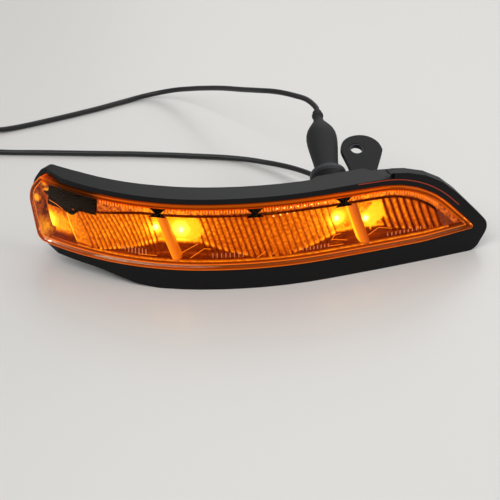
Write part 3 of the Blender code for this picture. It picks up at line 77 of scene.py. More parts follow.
def planPoint(along):
    # place and heading on the lamp's plan curve
    if along < 0.0:
        x, y, heading = walkArc(0.0, 0.0, 0.0, body["leftRadius"], -along)
        return -x, y, -heading
    x, y, heading = walkArc(0.0, 0.0, 0.0, body["rightRadius"], min(along, body["rightArc"]))
    if along > body["rightArc"]:
        x, y, heading = walkArc(x, y, heading, body["tipRadius"], along - body["rightArc"])
    return x, y, heading


def bendPoint(flat):
    # flat sheet in mm to the lamp's place in metres
    x, y, heading = planPoint(flat[0])
    fade = max(0.0, 1.0 - flat[1] / body["depth"])
    depth = flat[1] + body["faceLean"] * (flat[2] - lensSize["bottom"]) / body["leanHeight"] * fade
    return Vector((body["vertexX"] + x - depth * sin(heading),
                   body["vertexY"] + y + depth * cos(heading), flat[2])) * mm


def smoothStep(value, low, high):
    # 0 at low, 1 at high and a soft change between, whichever of the two is the larger
    share = min(1.0, max(0.0, (value - low) / (high - low)))
    return share * share * (3.0 - 2.0 * share)


def changed(value, amount, low, high):
    # factor that goes from 1 at low to 1 and the amount at high
    return 1.0 + amount * smoothStep(value, low, high)


def cornerSides(corners, index):
    # directions of the sides before and after a corner
    x, y = corners[index][:2]
    before, after = corners[index - 1], corners[(index + 1) % len(corners)]
    sides = (x - before[0], y - before[1]), (after[0] - x, after[1] - y)
    return [Vector(side).normalized() for side in sides]


def offsetCorners(corners, distance, smallest=0.4):
    moved = []
    for index, (x, y, radius) in enumerate(corners):
        first, second = cornerSides(corners, index)
        normalA, normalB = Vector((first.y, -first.x)), Vector((second.y, -second.x))
        mitre = (normalA + normalB) / (1.0 + normalA.dot(normalB))
        moved.append((x + mitre.x * distance, y + mitre.y * distance,
                      max(radius + distance, smallest) if radius > 0.0 else 0.0))
    return moved


def roundedOutline(corners, inset=0.0, stepAngle=radians(5.0), longest=3.0):
    # corner arcs joined by straights, cut to the same counts whatever the inset
    sides = [(Vector(corners[(index + 1) % len(corners)][:2]) - Vector(corner[:2])).length
             for index, corner in enumerate(corners)]
    corners = offsetCorners(corners, -inset) if inset else corners
    arcs = []
    for index, (x, y, radius) in enumerate(corners):
        if radius <= 0.0:
            arcs.append([Vector((x, y))])
            continue
        first, second = cornerSides(corners, index)
        turn = atan2(first.x * second.y - first.y * second.x, first.dot(second))
        start = Vector((x, y)) - first * radius * tan(abs(turn) / 2.0)
        centre = start + Vector((-first.y, first.x)) * (radius if turn > 0.0 else -radius)
        steps = max(1, ceil(abs(turn) / stepAngle - 0.01))
        arcs.append([centre + Matrix.Rotation(turn * step / steps, 2) @ (start - centre)
                     for step in range(steps + 1)])
    points = []
    for index, arc in enumerate(arcs):
        points += arc
        following = arcs[(index + 1) % len(arcs)][0]
        pieces = max(1, round(sides[index] / longest))
        points += [arc[-1].lerp(following, step / pieces) for step in range(1, pieces)]
    return [(point.x, point.y) for point in points]


def lensCorners():
    # the lens's outline from its lower left, as place, level and corner radius
    size, low = lensSize, lensSize["bottom"]
    return [
        (size["left"], low, size["cornerLow"]),
        (size["shoulder"], low, size["lowRadius"]),
        (size["right"], low + size["tipRise"], size["tipRadius"]),
        (size["shoulder"], lensTop - size["shoulderDrop"], size["shoulderRadius"]),
        (size["shoulder"] - size["topBreak"], lensTop, size["topRadius"]),
        (size["left"] - size["endTop"], lensTop, size["cornerHigh"]),
        (size["left"] - size["endBulge"], low + size["endLevel"], size["endRadius"]),
    ]


def upperLine(inset):
    # the lens's upper edge, carried straight on past the tip and moved in
    lens = lensCorners()
    farX, farZ = (2.0 * lens[2][axis] - lens[3][axis] for axis in (0, 1))
    low = farZ - lensSize["height"]
    corners = [(lensSize["left"], low, 0.0), (farX, low, 0.0), (farX, farZ, 0.0)] + lens[3:]
    return offsetCorners(corners, -inset)


def upperEdge(points, along):
    # level of an outline's upper side at a place
    best = None
    for index, (x, z) in enumerate(points):
        beforeX, beforeZ = points[index - 1]
        low, high = min(x, beforeX), max(x, beforeX)
        if low <= along <= high and high - low > 0.001:
            level = beforeZ + (z - beforeZ) * (along - beforeX) / (x - beforeX)
            best = level if best is None else max(best, level)
    return best


# Materials


def addNode(tree, kind, *values, settings=None, **links):
    # one node: its first inputs in order, others by name, each a value or a socket, and its settings
    node = tree.nodes.new(kind)
    for key, value in (settings or {}).items():
        setattr(node, key, value)
    named = [(key.replace("_", " "), value) for key, value in links.items()]
    for key, value in list(enumerate(values)) + named:
        if isinstance(value, bpy.types.NodeSocket):
            tree.links.new(value, node.inputs[key])
        else:
            node.inputs[key].default_value = value
    return node


def newMaterial(name, colour, roughness, **values):
    made = bpy.data.materials.new(name)
    made.use_nodes = True
    shader = made.node_tree.nodes["Principled BSDF"]
    shader.inputs["Base Color"].default_value = linear(colour)
    shader.inputs["Roughness"].default_value = roughness
    for key, value in values.items():
        shader.inputs[key.replace("_", " ")].default_value = value
    return made, made.node_tree, shader


def grainBump(tree, shader, size, strength, depth=0.00005, detail=3.0, edge=None):
    # size is the grain's width in mm, drawn coarser than the real one where that is too fine to show,
    # and edge is the radius that sharp corners seem to have
    place = addNode(tree, "ShaderNodeTexCoord").outputs["Object"]
    grain = addNode(tree, "ShaderNodeTexNoise", Vector=place, Scale=1000.0 / size, Detail=detail)
    bump = addNode(tree, "ShaderNodeBump", Strength=strength, Distance=depth, Height=grain.outputs["Fac"])
    if edge:
        soft = addNode(tree, "ShaderNodeBevel", settings={"samples": 6}, Radius=edge * mm)
        tree.links.new(soft.outputs["Normal"], bump.inputs["Normal"])
    tree.links.new(bump.outputs["Normal"], shader.inputs["Normal"])
    return grain.outputs["Fac"]


def mixedColour(tree, shader, factor, low, high):
    mix = addNode(tree, "ShaderNodeMix", factor, settings={"data_type": "RGBA"})
    mix.inputs[6].default_value = linear(low)
    mix.inputs[7].default_value = linear(high)
    tree.links.new(mix.outputs[2], shader.inputs["Base Color"])


def mixedRoughness(tree, shader, grain, low, high):
    spread = addNode(tree, "ShaderNodeMapRange", grain, 0.3, 0.7, low, high)
    tree.links.new(spread.outputs["Result"], shader.inputs["Roughness"])


def emitHues(tree, shader, light, share, hues):
    # light sets the strength, and its share of the whole range picks the colour
    ramp = addNode(tree, "ShaderNodeValToRGB", share)
    stops = ramp.color_ramp.elements
    while len(stops) < len(hues):
        stops.new(0.5)
    for stop, (place, hue) in zip(stops, hues):
        stop.position = place
        stop.color = hue
    tree.links.new(ramp.outputs["Color"], shader.inputs["Emission Color"])
    tree.links.new(light, shader.inputs["Emission Strength"])


def makeBlackAbs():
    # moulded ABS, spark-eroded grain: satin black with broad soft highlights
    made, tree, shader = newMaterial("mouldedBlackAbs", "#0d0d0e", 0.42, Specular_IOR_Level=0.2)
    grain = grainBump(tree, shader, 0.35, 0.35, edge=0.45)
    mixedColour(tree, shader, grain, "#0a0a0b", "#101011")
    mixedRoughness(tree, shader, grain, 0.36, 0.48)
    return made


def makePolishedAbs():
    # the same ABS from a polished mould: deep black with crisp highlights
    made, tree, shader = newMaterial("polishedBlackAbs", "#030303", 0.16, Specular_IOR_Level=0.12)
    grainBump(tree, shader, 2.5, 0.12, edge=0.3)
    return made


def makeClearPolycarbonate():
    # clear injection-moulded polycarbonate: faintly warm, with a painted orange glow and a painted orange
    # base colour where its edges carry the light
    made, tree, shader = newMaterial("clearPolycarbonate", "#ffe2c4", 0.015, IOR=1.585,
                                     Transmission_Weight=1.0, Specular_Tint=linear("#2c1e14"))
    light = addNode(tree, "ShaderNodeAttribute", settings={"attribute_name": "lampLight"}).outputs["Fac"]
    shader.inputs["Emission Color"].default_value = (1.0, 0.2, 0.006, 1.0)
    tree.links.new(light, shader.inputs["Emission Strength"])
    # painted glow: the base colour goes from warm clear to orange as the painted light rises
    glowTint = addNode(tree, "ShaderNodeMapRange", light, 0.0, 0.04, 0.0, 1.0).outputs["Result"]
    mixedColour(tree, shader, glowTint, "#ffe2c4", "#c64a0a")
    grainBump(tree, shader, 18.0, 0.02, detail=1.0)
    return made


# from red-brown where the lamps' light is faint, over amber, to yellow
lampHues = ((0.04, (1.0, 0.11, 0.005, 1.0)), (0.25, (1.0, 0.22, 0.006, 1.0)), (0.55, (1.0, 0.5, 0.012, 1.0)),
            (1.0, (1.0, 0.78, 0.06, 1.0)))


def glowInto(tree, shader, sparkle=0.0, size=1.0, strongest=3.0):
    # the attribute holds how strongly the lamps light each point
    light = addNode(tree, "ShaderNodeAttribute", settings={"attribute_name": "lampLight"}).outputs["Fac"]
    if sparkle:
        # painted glints: grains of size mm glint in the emission, and hardly do where the light is strong
        place = addNode(tree, "ShaderNodeTexCoord").outputs["Object"]
        cells = addNode(tree, "ShaderNodeTexNoise", Vector=place, Scale=1000.0 / size, Detail=2.0)
        glint = addNode(tree, "ShaderNodeMapRange", cells.outputs["Fac"], 0.4, 0.62,
                        1.0 - sparkle, 1.0 + sparkle)
        calm = addNode(tree, "ShaderNodeMapRange", light, 1.1, 1.8, 0.0, 0.85)
        evened = addNode(tree, "ShaderNodeMix", calm.outputs["Result"], A=glint.outputs["Result"], B=1.0)
        light = addNode(tree, "ShaderNodeMath", light, evened.outputs[0], settings={"operation": "MULTIPLY"})
        light = light.outputs["Value"]
    share = addNode(tree, "ShaderNodeMapRange", light, 0.0, strongest, 0.0, 1.0).outputs["Result"]
    emitHues(tree, shader, light, share, lampHues)


def makeMetallised():
    # vacuum-metallised plastic under amber light: it takes the lamps' colour, dark where they don't reach
    made, tree, shader = newMaterial("metallisedReflector", "#4a1e08", 0.26, Metallic=1.0)
    glowInto(tree, shader, 0.24, 1.3)
    grainBump(tree, shader, 0.9, 0.3, depth=0.00007)
    return made


def makeGlowingClear(name, base, roughness, sparkle=0.0, size=1.0):
    # frosted or ribbed clear plastic that carries the lamps' light inside: a dark amber base colour and a
    # painted glow all through
    made, tree, shader = newMaterial(name, base, roughness, IOR=1.585)
    glowInto(tree, shader, sparkle, size)
    grainBump(tree, shader, 1.6, 0.3, depth=0.00012)
    return made


# places on the light guide in mm, how far each glows, and how strongly; the core is evenly bright
guideSpots = (((-109.6, -20.6, 38.0), 3.2, 1.5), ((-115.2, -17.6, 33.2), 2.8, 1.3),
              ((-111.0, -19.2, 43.0), 2.6, 0.7), ((-112.8, -22.6, 18.0), 8.0, 0.55),
              ((-110.4, -23.6, 20.0), 3.0, 0.3))
guideCore = 0.3
guideHues = ((0.1, (1.0, 0.1, 0.004, 1.0)), (0.9, (1.0, 0.42, 0.02, 1.0)))


def makeGuide():
    # polished light guide: dull red in its body, with bright places where it turns the lamp's light out
    made, tree, shader = newMaterial("lightGuidePolycarbonate", "#1c0800", 0.3, Specular_IOR_Level=0.1)
    place = addNode(tree, "ShaderNodeTexCoord").outputs["Object"]
    # painted specks of glow, in cells of 2.4 mm, 420 to the metre
    cells = addNode(tree, "ShaderNodeTexNoise", Vector=place, Scale=420.0, Detail=2.0).outputs["Fac"]
    light = addNode(tree, "ShaderNodeMapRange", cells, 0.4, 0.62, 0.06, 0.34).outputs["Result"]
    for spot, reach, strength in guideSpots:
        away = addNode(tree, "ShaderNodeVectorMath", place, [value * mm for value in spot],
                       settings={"operation": "DISTANCE"}).outputs["Value"]
        near = addNode(tree, "ShaderNodeMapRange", away, reach * guideCore * mm, reach * mm,
                       strength, 0.0)
        light = addNode(tree, "ShaderNodeMath", light, near.outputs["Result"],
                        settings={"operation": "ADD"}).outputs["Value"]
    emitHues(tree, shader, light, light, guideHues)
    grainBump(tree, shader, 1.6, 0.3, depth=0.00012)
    return made


def makeLedFace():
    # amber LED under a silicone dome: white-hot where it faces the eye, yellow towards its edge
    made, tree, shader = newMaterial("amberLedSilicone", "#ffd27a", 0.3)
    facing = addNode(tree, "ShaderNodeLayerWeight", Blend=0.5).outputs["Facing"]
    strength = addNode(tree, "ShaderNodeMapRange", facing, 0.05, 0.4, 12.0, 1.9).outputs["Result"]
    shader.inputs["Emission Color"].default_value = (1.0, 0.6, 0.1, 1.0)
    tree.links.new(strength, shader.inputs["Emission Strength"])
    grainBump(tree, shader, 0.6, 0.2)
    return made


def makeLit(name, base, hue, strength, roughness):
    # small ribs, prisms and edges that catch a lamp, as painted highlights and glows: one even colour each
    made, tree, shader = newMaterial(name, base, roughness, Emission_Color=hue, Emission_Strength=strength)
    grainBump(tree, shader, 0.5, 0.2)
    return made


def makeRubber():
    # moulded EPDM rubber: dull, nearly black, with a dusty bloom in clouds of about 11 mm
    made, tree, shader = newMaterial("mouldedEpdmRubber", "#161616", 0.72)
    grainBump(tree, shader, 0.5, 0.5, edge=0.3)
    place = addNode(tree, "ShaderNodeTexCoord").outputs["Object"]
    cloud = addNode(tree, "ShaderNodeTexNoise", Vector=place, Scale=90.0, Detail=4.0).outputs["Fac"]
    mixedColour(tree, shader, cloud, "#101010", "#212120")
    return made


def makeSleeve():
    # extruded PVC sleeve on the leads: smooth, half-matt, faintly wavy
    made, tree, shader = newMaterial("pvcLeadSleeve", "#121212", 0.42)
    wave = grainBump(tree, shader, 2.2, 0.35, depth=0.00012)
    mixedColour(tree, shader, wave, "#0d0d0d", "#1a1a1a")
    return made


def makeMetal(name, colour, roughness, grain):
    # plated or drawn metal: a fine grain makes its gloss uneven
    made, tree, shader = newMaterial(name, colour, roughness, Metallic=1.0)
    finish = grainBump(tree, shader, grain, 0.2, edge=0.15)
    mixedRoughness(tree, shader, finish, roughness - 0.06, roughness + 0.1)
    return made


def makeBoardMaterial():
    # glass-epoxy board with green solder mask: copper tracks 1 mm apart show as paler lines
    made, tree, shader = newMaterial("solderMaskBoard", "#0d4a26", 0.35)
    place = addNode(tree, "ShaderNodeTexCoord").outputs["Object"]
    greens = [linear(value) for value in ("#0b4222", "#0f5a30", "#2f8a54")]
    tracks = addNode(tree, "ShaderNodeTexBrick", place, *greens, settings={"offset": 0.3}, Scale=260.0,
                     Mortar_Size=0.06)
    tree.links.new(tracks.outputs["Color"], shader.inputs["Base Color"])
    grainBump(tree, shader, 1.2, 0.1)
    return made


def makePlain(name, colour, dark, roughness, grain, **values):
    # moulded or drawn material of one colour: a grain of small lighter and darker places
    made, tree, shader = newMaterial(name, colour, roughness, **values)
    mixedColour(tree, shader, grainBump(tree, shader, grain, 0.25, edge=0.2), dark, colour)
    return made


# the CAD's material slots first, then looks that only some pieces take
materials = {
    "black_abs": makeBlackAbs(),
    "clear_polycarbonate": makeClearPolycarbonate(),
    "metallised_plastic": makeMetallised(),
    "amber_led": makeLedFace(),
    "black_rubber": makeRubber(),
    "zinc_steel": makeMetal("zincPlatedSteel", "#b9bcc0", 0.3, 0.8),
    "tinned_brass": makeMetal("tinnedBrass", "#c9b78a", 0.28, 0.6),
    "aluminium_can": makeMetal("drawnAluminium", "#c4c7cb", 0.3, 0.5),
    "circuit_board": makeBoardMaterial(),
    "component_epoxy": makePlain("mouldedEpoxy", "#1b1b1c", "#121213", 0.4, 0.3),
    "wire_insulation": makePlain("redWireInsulation", "#8e1b12", "#731409", 0.45, 1.0),
    "bulb_glass": makePlain("bulbGlass", "#f6f4ee", "#e9e6de", 0.03, 3.0, IOR=1.5, Transmission_Weight=0.95),
    "grey_nylon": makePlain("glassFilledNylon", "#3c3d40", "#2f3033", 0.5, 0.4),
    "silicone_seal": makePlain("blackSilicone", "#1d1d1e", "#141415", 0.55, 0.8),
    "polished": makePolishedAbs(),
    "frosted": makeGlowingClear("frostedPolycarbonate", "#3c1604", 0.3),
    "strip": makeGlowingClear("ribbedPolycarbonate", "#3a1604", 0.16, 0.45, 1.5),
    "guide": makeGuide(),
    # painted glints, highlights and glows as even emission: beads, ribs, edge lines and the housing's lip
    # line
    "bead": makeLit("paintedPrismGlint", "#ffd9a0", (1.0, 0.6, 0.16, 1.0), 3.2, 0.05),
    "rib": makeLit("paintedRibAndEdgeGlow", "#8a3c0c", (1.0, 0.27, 0.008, 1.0), 1.3, 0.12),
    "ledgeRib": makeLit("paintedLedgeRibHighlight", "#b09088", (1.0, 0.42, 0.22, 1.0), 0.4, 0.1),
    "lip": makeLit("litHousingLip", "#140402", (1.0, 0.07, 0.005, 1.0), 0.28, 0.5),
    "dimLed": makeLit("endLedSilicone", "#c07020", (1.0, 0.3, 0.006, 1.0), 1.6, 0.3),
    "sleeve": makeSleeve(),
    "darkSteel": makeMetal("blackPassivatedSteel", "#3a3b3e", 0.38, 0.8),
}
print("materials", len(materials))


# Mesh helpers


def linkedObject(name, data):
    made = bpy.data.objects.new(name, data)
    bpy.context.scene.collection.objects.link(made)
    return made


def dressMesh(name, mesh, look, sharp):
    mesh.materials.clear()
    mesh.materials.append(materials[look])
    mesh.shade_smooth()
    mesh.set_sharp_from_angle(angle=radians(sharp))
    return linkedObject(name, mesh)


def pieceFrom(name, verts, faces, look, sharp=35.0, light=None):
    # light gives how strongly the lamps light each point
    mesh = bpy.data.meshes.new(name)
    mesh.from_pydata([tuple(vert) for vert in verts], [], faces)
    if light:
        mesh.attributes.new("lampLight", "FLOAT", "POINT").data.foreach_set("value", light)
    shape = bmesh.new()
    shape.from_mesh(mesh)
    bmesh.ops.remove_doubles(shape, verts=shape.verts, dist=0.000002)
    bmesh.ops.recalc_face_normals(shape, faces=shape.faces)
    shape.to_mesh(mesh)
    shape.free()
    return dressMesh(name, mesh, look, sharp)


def tubeFaces(rings, count):
    # quads between rings of the same count, and a cap at each end
    faces = []
    for first in range(0, (rings - 1) * count, count):
        for index in range(count):
            following = (index + 1) % count
            faces.append((first + index, first + following, first + count + following, first + count + index))
    return faces + [tuple(range(count))[::-1], tuple(range((rings - 1) * count, rings * count))]


def loft(name, rings, look, light=None, sharp=35.0):
    # rings of points in the flat sheet, bent and capped at both ends
    points = [point for ring in rings for point in ring]
    values = [light(point) for point in points] if light else None
    return pieceFrom(name, [bendPoint(point) for point in points], tubeFaces(len(rings), len(rings[0])), look,
                     sharp, values)


def circle(radius, sides):
    turns = [2.0 * pi * side / sides for side in range(sides)]
    return [(radius * cos(turn), radius * sin(turn)) for turn in turns]


def sliceAlong(shape, axis, places):
    normal = Vector((0.0, 0.0, 0.0))
    normal[axis] = 1.0
    for place in places:
        bmesh.ops.bisect_plane(shape, geom=shape.verts[:] + shape.edges[:] + shape.faces[:], dist=0.0001,
                               plane_co=normal * place, plane_no=normal)


def evenly(low, high, step):
    count = max(1, round((high - low) / step))
    return [low + (high - low) * index / count for index in range(1, count)]


def pathTree(name, sizes, build):
    # a node tree over a path: build adds the nodes and returns the geometry that the material goes on
    tree = bpy.data.node_groups.new(name, "GeometryNodeTree")
    tree.interface.new_socket("Geometry", in_out="OUTPUT", socket_type="NodeSocketGeometry")
    for label, kind in (("Path", "Geometry"),) + sizes + (("Material", "Material"),):
        tree.interface.new_socket(label, in_out="INPUT", socket_type="NodeSocket" + kind)
    entry = addNode(tree, "NodeGroupInput").outputs
    curve = addNode(tree, "GeometryNodeMeshToCurve", Mesh=entry["Path"])
    real = addNode(tree, "GeometryNodeRealizeInstances", Geometry=build(tree, entry, curve.outputs["Curve"]))
    dressed = addNode(tree, "GeometryNodeSetMaterial", Geometry=real.outputs["Geometry"],
                      Material=entry["Material"])
    addNode(tree, "NodeGroupOutput", Geometry=dressed.outputs["Geometry"])
    return tree


def buildTube(tree, sizes, curve):
    profile = addNode(tree, "GeometryNodeCurvePrimitiveCircle", Resolution=sizes["Sides"],
                      Radius=sizes["Radius"])
    tube = addNode(tree, "GeometryNodeCurveToMesh", Curve=curve, Profile_Curve=profile.outputs["Curve"],
                   Fill_Caps=True)
    return tube.outputs["Mesh"]


def buildRow(tree, sizes, curve):
    # copies of one piece at an even pitch, each turned along the path
    spaced = addNode(tree, "GeometryNodeResampleCurve", settings={"mode": "LENGTH"}, Curve=curve,
                     Length=sizes["Pitch"])
    along = addNode(tree, "GeometryNodeInputTangent")
    turn = addNode(tree, "FunctionNodeAlignRotationToVector", settings={"axis": "X", "pivot_axis": "Z"},
                   Vector=along.outputs["Tangent"])
    copy = addNode(tree, "GeometryNodeObjectInfo", Object=sizes["Piece"])
    row = addNode(tree, "GeometryNodeInstanceOnPoints", Points=spaced.outputs["Curve"],
                  Instance=copy.outputs["Geometry"], Rotation=turn.outputs["Rotation"], Scale=sizes["Scale"])
    return row.outputs["Instances"]


tubeTree = pathTree("tubeOnPath", (("Radius", "Float"), ("Sides", "Int")), buildTube)
rowTree = pathTree("rowOnPath", (("Pitch", "Float"), ("Scale", "Vector"), ("Piece", "Object")), buildRow)


def grow(name, tree, path, look, **values):
    # runs a tree over a path of points and keeps the result as a plain mesh
    mesh = bpy.data.meshes.new(name)
    mesh.from_pydata([tuple(point) for point in path], [(i, i + 1) for i in range(len(path) - 1)], [])
    piece = linkedObject(name, mesh)
    modifier = piece.modifiers.new("grow", "NODES")
    modifier.node_group = tree
    values["Material"] = materials[look]
    for item in tree.interface.items_tree:
        if item.in_out == "INPUT" and item.name in values:
            modifier[item.identifier] = values[item.name]
    bpy.context.view_layer.update()
    grown = bpy.data.meshes.new_from_object(piece.evaluated_get(bpy.context.evaluated_depsgraph_get()))
    piece.modifiers.remove(modifier)
    piece.data = grown
    grown.name = name
    grown.shade_smooth()
    grown.set_sharp_from_angle(angle=radians(40.0))
    return piece


def pattern(kind, radius=1.0, soft=0.12):
    # one piece of a row, removed once its rows are made: a bead, or a block of 1 mm with soft edges
    mesh = bpy.data.meshes.new(kind)
    shape = bmesh.new()
    if kind == "bead":
        bmesh.ops.create_icosphere(shape, subdivisions=2, radius=radius * mm)
    else:
        bmesh.ops.create_cube(shape, size=mm)
        bmesh.ops.bevel(shape, geom=shape.edges[:], offset=soft * mm, segments=1, affect="EDGES", profile=0.5)
    shape.to_mesh(mesh)
    shape.free()
    return linkedObject(kind, mesh)


def finished(piece, node):
    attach(piece, "root")
    if node:
        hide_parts(node)
    return piece


def addRow(name, path, look, pitch, scale, piece):
    finished(grow(name, rowTree, path, look, Pitch=pitch * mm, Scale=scale, Piece=piece), None)


# Camera, placed as the photograph was taken

camera = {"elevation": radians(34.0), "distance": 850.0, "target": (-5.26, -44.5, 18.0), "focal": 120.0,
          "sensor": 36.0, "nearest": 0.05}


def makeCamera():
    data = bpy.data.cameras.new("photoCamera")
    data.lens = camera["focal"]
    data.sensor_width = camera["sensor"]
    data.clip_start = camera["nearest"]
    made = linkedObject("photoCamera", data)
    rise, distance = camera["elevation"], camera["distance"]
    x, y, z = camera["target"]
    made.location = Vector((x, y - distance * cos(rise), z + distance * sin(rise))) * mm
    made.rotation_euler = (pi / 2.0 - rise, 0.0, 0.0)
    bpy.context.scene.camera = made


makeCamera()

# Leads, on the routes of the model's own leads

leads = {
    "radius": 1.5, "sides": 20,
    "lamp": ((15.6, -16.2, 17.5), (14.9, -13.3, 17.5), (15.6, -4.8, 15.6), (17.5, 2.6, 13.0),
             (21.7, 10.0, 10.5), (26.4, 16.6, 8.7), (29.7, 24.2, 8.3), (31.9, 32.0, 8.4),
             (32.9, 40.2, 8.1), (28.8, 47.4, 7.1), (23.0, 53.3, 6.1), (16.7, 58.7, 5.0), (9.8, 63.5, 3.9),
             (2.3, 67.6, 3.0), (-5.5, 71.0, 2.4), (-13.4, 73.5, 1.9), (-21.8, 75.1, 1.7),
             (-29.9, 75.9, 1.7), (-38.6, 76.6, 1.7), (-46.5, 77.3, 1.7), (-54.9, 77.9, 1.7),
             (-63.3, 78.4, 1.7), (-71.8, 78.9, 1.7), (-80.1, 79.1, 1.7), (-88.5, 79.3, 1.7),
             (-97.8, 79.5, 1.7), (-106.2, 79.8, 1.7), (-113.6, 80.0, 1.7), (-122.2, 80.3, 1.7),
             (-131.3, 80.6, 1.6), (-139.2, 80.8, 1.5), (-147.2, 81.0, 1.6), (-155.6, 81.1, 2.2),
             (-163.8, 81.2, 3.8), (-172.0, 81.3, 4.3)),
    "courtesy": ((31.6, 53.6, 43.5), (31.2, 56.5, 44.4), (26.2, 62.9, 46.1), (19.3, 67.8, 46.0),
                 (12.7, 72.7, 45.1), (6.7, 78.1, 43.1), (1.4, 83.7, 40.4), (-3.4, 89.8, 37.4),
                 (-8.5, 96.4, 34.1), (-12.9, 102.2, 31.3), (-17.8, 108.7, 28.2), (-22.3, 114.5, 25.3),
                 (-27.4, 120.7, 22.0), (-32.0, 126.1, 19.0), (-37.2, 131.9, 15.7), (-42.7, 137.3, 12.4),
                 (-48.8, 142.3, 9.2), (-55.2, 145.8, 6.3), (-63.2, 147.6, 3.6), (-71.0, 146.5, 2.2),
                 (-78.8, 143.1, 1.6), (-86.1, 138.9, 1.6), (-93.3, 134.6, 1.6), (-100.5, 130.6, 1.6),
                 (-107.8, 126.8, 1.6), (-115.0, 123.1, 1.6), (-122.8, 119.3, 1.6), (-130.4, 115.6, 1.6),
                 (-137.5, 112.3, 1.6), (-145.3, 108.9, 1.7), (-153.1, 105.9, 2.2), (-160.9, 103.8, 3.7),
                 (-168.9, 103.2, 4.3)),
}


def routeThrough(points, parts=4):
    # centripetal curve through the route's points
    anchors = [Vector(point) * mm for point in points]
    anchors = [anchors[0] * 2.0 - anchors[1]] + anchors + [anchors[-1] * 2.0 - anchors[-2]]
    fine = []
    for index in range(1, len(anchors) - 2):
        p0, p1, p2, p3 = anchors[index - 1:index + 3]
        t1 = sqrt((p1 - p0).length)
        t2 = t1 + sqrt((p2 - p1).length)
        t3 = t2 + sqrt((p3 - p2).length)
        for step in range(parts):
            t = t1 + (t2 - t1) * step / parts
            a1 = p0 * ((t1 - t) / t1) + p1 * (t / t1)
            a2 = p1 * ((t2 - t) / (t2 - t1)) + p2 * ((t - t1) / (t2 - t1))
            a3 = p2 * ((t3 - t) / (t3 - t2)) + p3 * ((t - t2) / (t3 - t2))
            b1 = a1 * ((t2 - t) / t2) + a2 * (t / t2)
            b2 = a2 * ((t3 - t) / (t3 - t1)) + a3 * ((t - t1) / (t3 - t1))
            fine.append(b1 * ((t2 - t) / (t2 - t1)) + b2 * ((t - t1) / (t2 - t1)))
    fine.append(anchors[-2])
    return fine


def makeLead(which):
    path = routeThrough(leads[which])
    lead = grow(which + "Lead", tubeTree, path, "sleeve", Radius=leads["radius"] * mm, Sides=leads["sides"])
    finished(lead, which + "_cable")


for which in ("lamp", "courtesy"):
    makeLead(which)
print("leads")


# Light that the lamps throw on a point of the flat sheet: strong beside a lamp, even and low far off

glow = {"base": 0.5, "near": 4.2, "reach": 3.9, "far": 0.5, "farReach": 20.0,
        "halos": (0.55, 0.95, 0.72, 0.5)}


def lampLight(x, z):
    total = glow["base"]
    for led, level, halo in zip(lampPlaces["leds"], lampPlaces["levels"], glow["halos"]):
        away = hypot(x - led, z - level)
        total += glow["near"] * halo / (1.0 + (away / (glow["reach"] * sqrt(halo))) ** 3)
        total += glow["far"] / (1.0 + (away / glow["farReach"]) ** 2)
    return total


# Reflector: one cross-section for each step along the lamp

reflectorSize = {
    "wall": 0.5, "leftEnd": -70.6, "rightMargin": 20.0, "endDepth": 4.9, "lampDepth": 12.0, "crestDepth": 5.8,
    "crestShift": 1.2, "bowl": 1.2, "front": 3.2, "lean": radians(18.0), "extraLean": 0.9,
    "leanSpan": (-26.0, -52.0), "flute": 0.95, "fluteRound": 0.75, "steps": 12, "rows": 13, "footRows": 3,
    "joinPitch": 0.8, "joinBulge": 0.9, "joinLight": 0.8, "floorGap": 1.4, "riseStart": 4.0, "wallRise": 0.6,
    "leastPitch": 0.02, "leastWall": 1.0, "footShare": 0.5, "leanTries": 6,
    # for each chamber from the left: how far it stays from its post, how many flutes it has,
    # and how dark the painted shade in their grooves is, and how narrow the grooves are
    "chambers": ((12.0, 16, 0.22, 0.8), (14.0, 11, 0.16, 0.9), (14.0, 11, 0.3, 0.6), (13.0, 9, 0.06, 1.7)),
    # the round cap at the left end, bright on its outer steps
    "cap": {"width": 4.2, "bulge": 2.6, "halfHeight": 11.0, "upright": 1.2, "back": 0.9, "steps": 12,
            "brightSteps": 4, "bright": 2.3, "light": 1.5, "fall": 0.4},
    # points of the ridges along the ledge's front by depth, rise and light, then the plain ledge behind them
    "ledge": {"ridges": ((0.0, 0.0, 0.75), (0.45, 0.4, 1.15), (0.8, 0.05, 0.12), (1.25, 0.35, 0.85),
                         (1.6, 0.05, 0.12), (2.0, 0.3, 0.45)),
              "start": 2.3, "least": 2.1, "rise": 0.3, "shares": (0.0, 0.2, 0.5, 0.8, 0.95),
              "shade": 0.11, "lit": 0.1, "back": 0.5, "backStart": 0.7},
    # the lip that comes forward from the wall's top, hardly lit
    "lip": {"rise": 0.1, "light": 0.07, "endGap": 0.6, "endRise": 0.2, "endLight": 0.04},
    # how the light changes up the wall, by share of its height: a scalloped bright foot, darker below the lip
    "light": {"foot": 0.1, "base": 0.75, "rise": (0.4, 0.0, 0.35), "left": (0.35, -34.0, -54.0),
              "lip": (-0.4, 0.88, 1.0), "scallop": (0.8, 0.1, 0.0), "scallopLeast": 0.6},
    # how far above the ledge the lit part of the wall begins, by place
    "footLine": ((-200.0, 0.0), (-64.0, 0.0), (-45.0, 2.6), (-28.0, 6.2), (-2.0, 6.4), (10.0, 2.6),
                 (22.0, 0.0), (44.0, 0.0), (58.0, 2.0), (70.0, 5.0), (96.0, 4.0), (106.0, 1.4), (118.0, 0.0),
                 (200.0, 0.0)),
    # painted patches of a lamp's light where plane facets throw it straight out, yellow with sharp edges: the
    # lamp and the corners
    "facets": ((1, ((-15.2, 26.5), (-10.5, 34.0), (-3.0, 35.5), (1.6, 28.0), (-1.8, 22.4), (-11.4, 21.2))),
               (3, ((88.4, 24.5), (95.5, 34.5), (98.8, 34.0), (101.5, 24.5), (93.5, 17.5)))),
    "facetLight": {"near": 2.05, "fall": 0.035, "depth": 8.0, "level": 16.0},
}


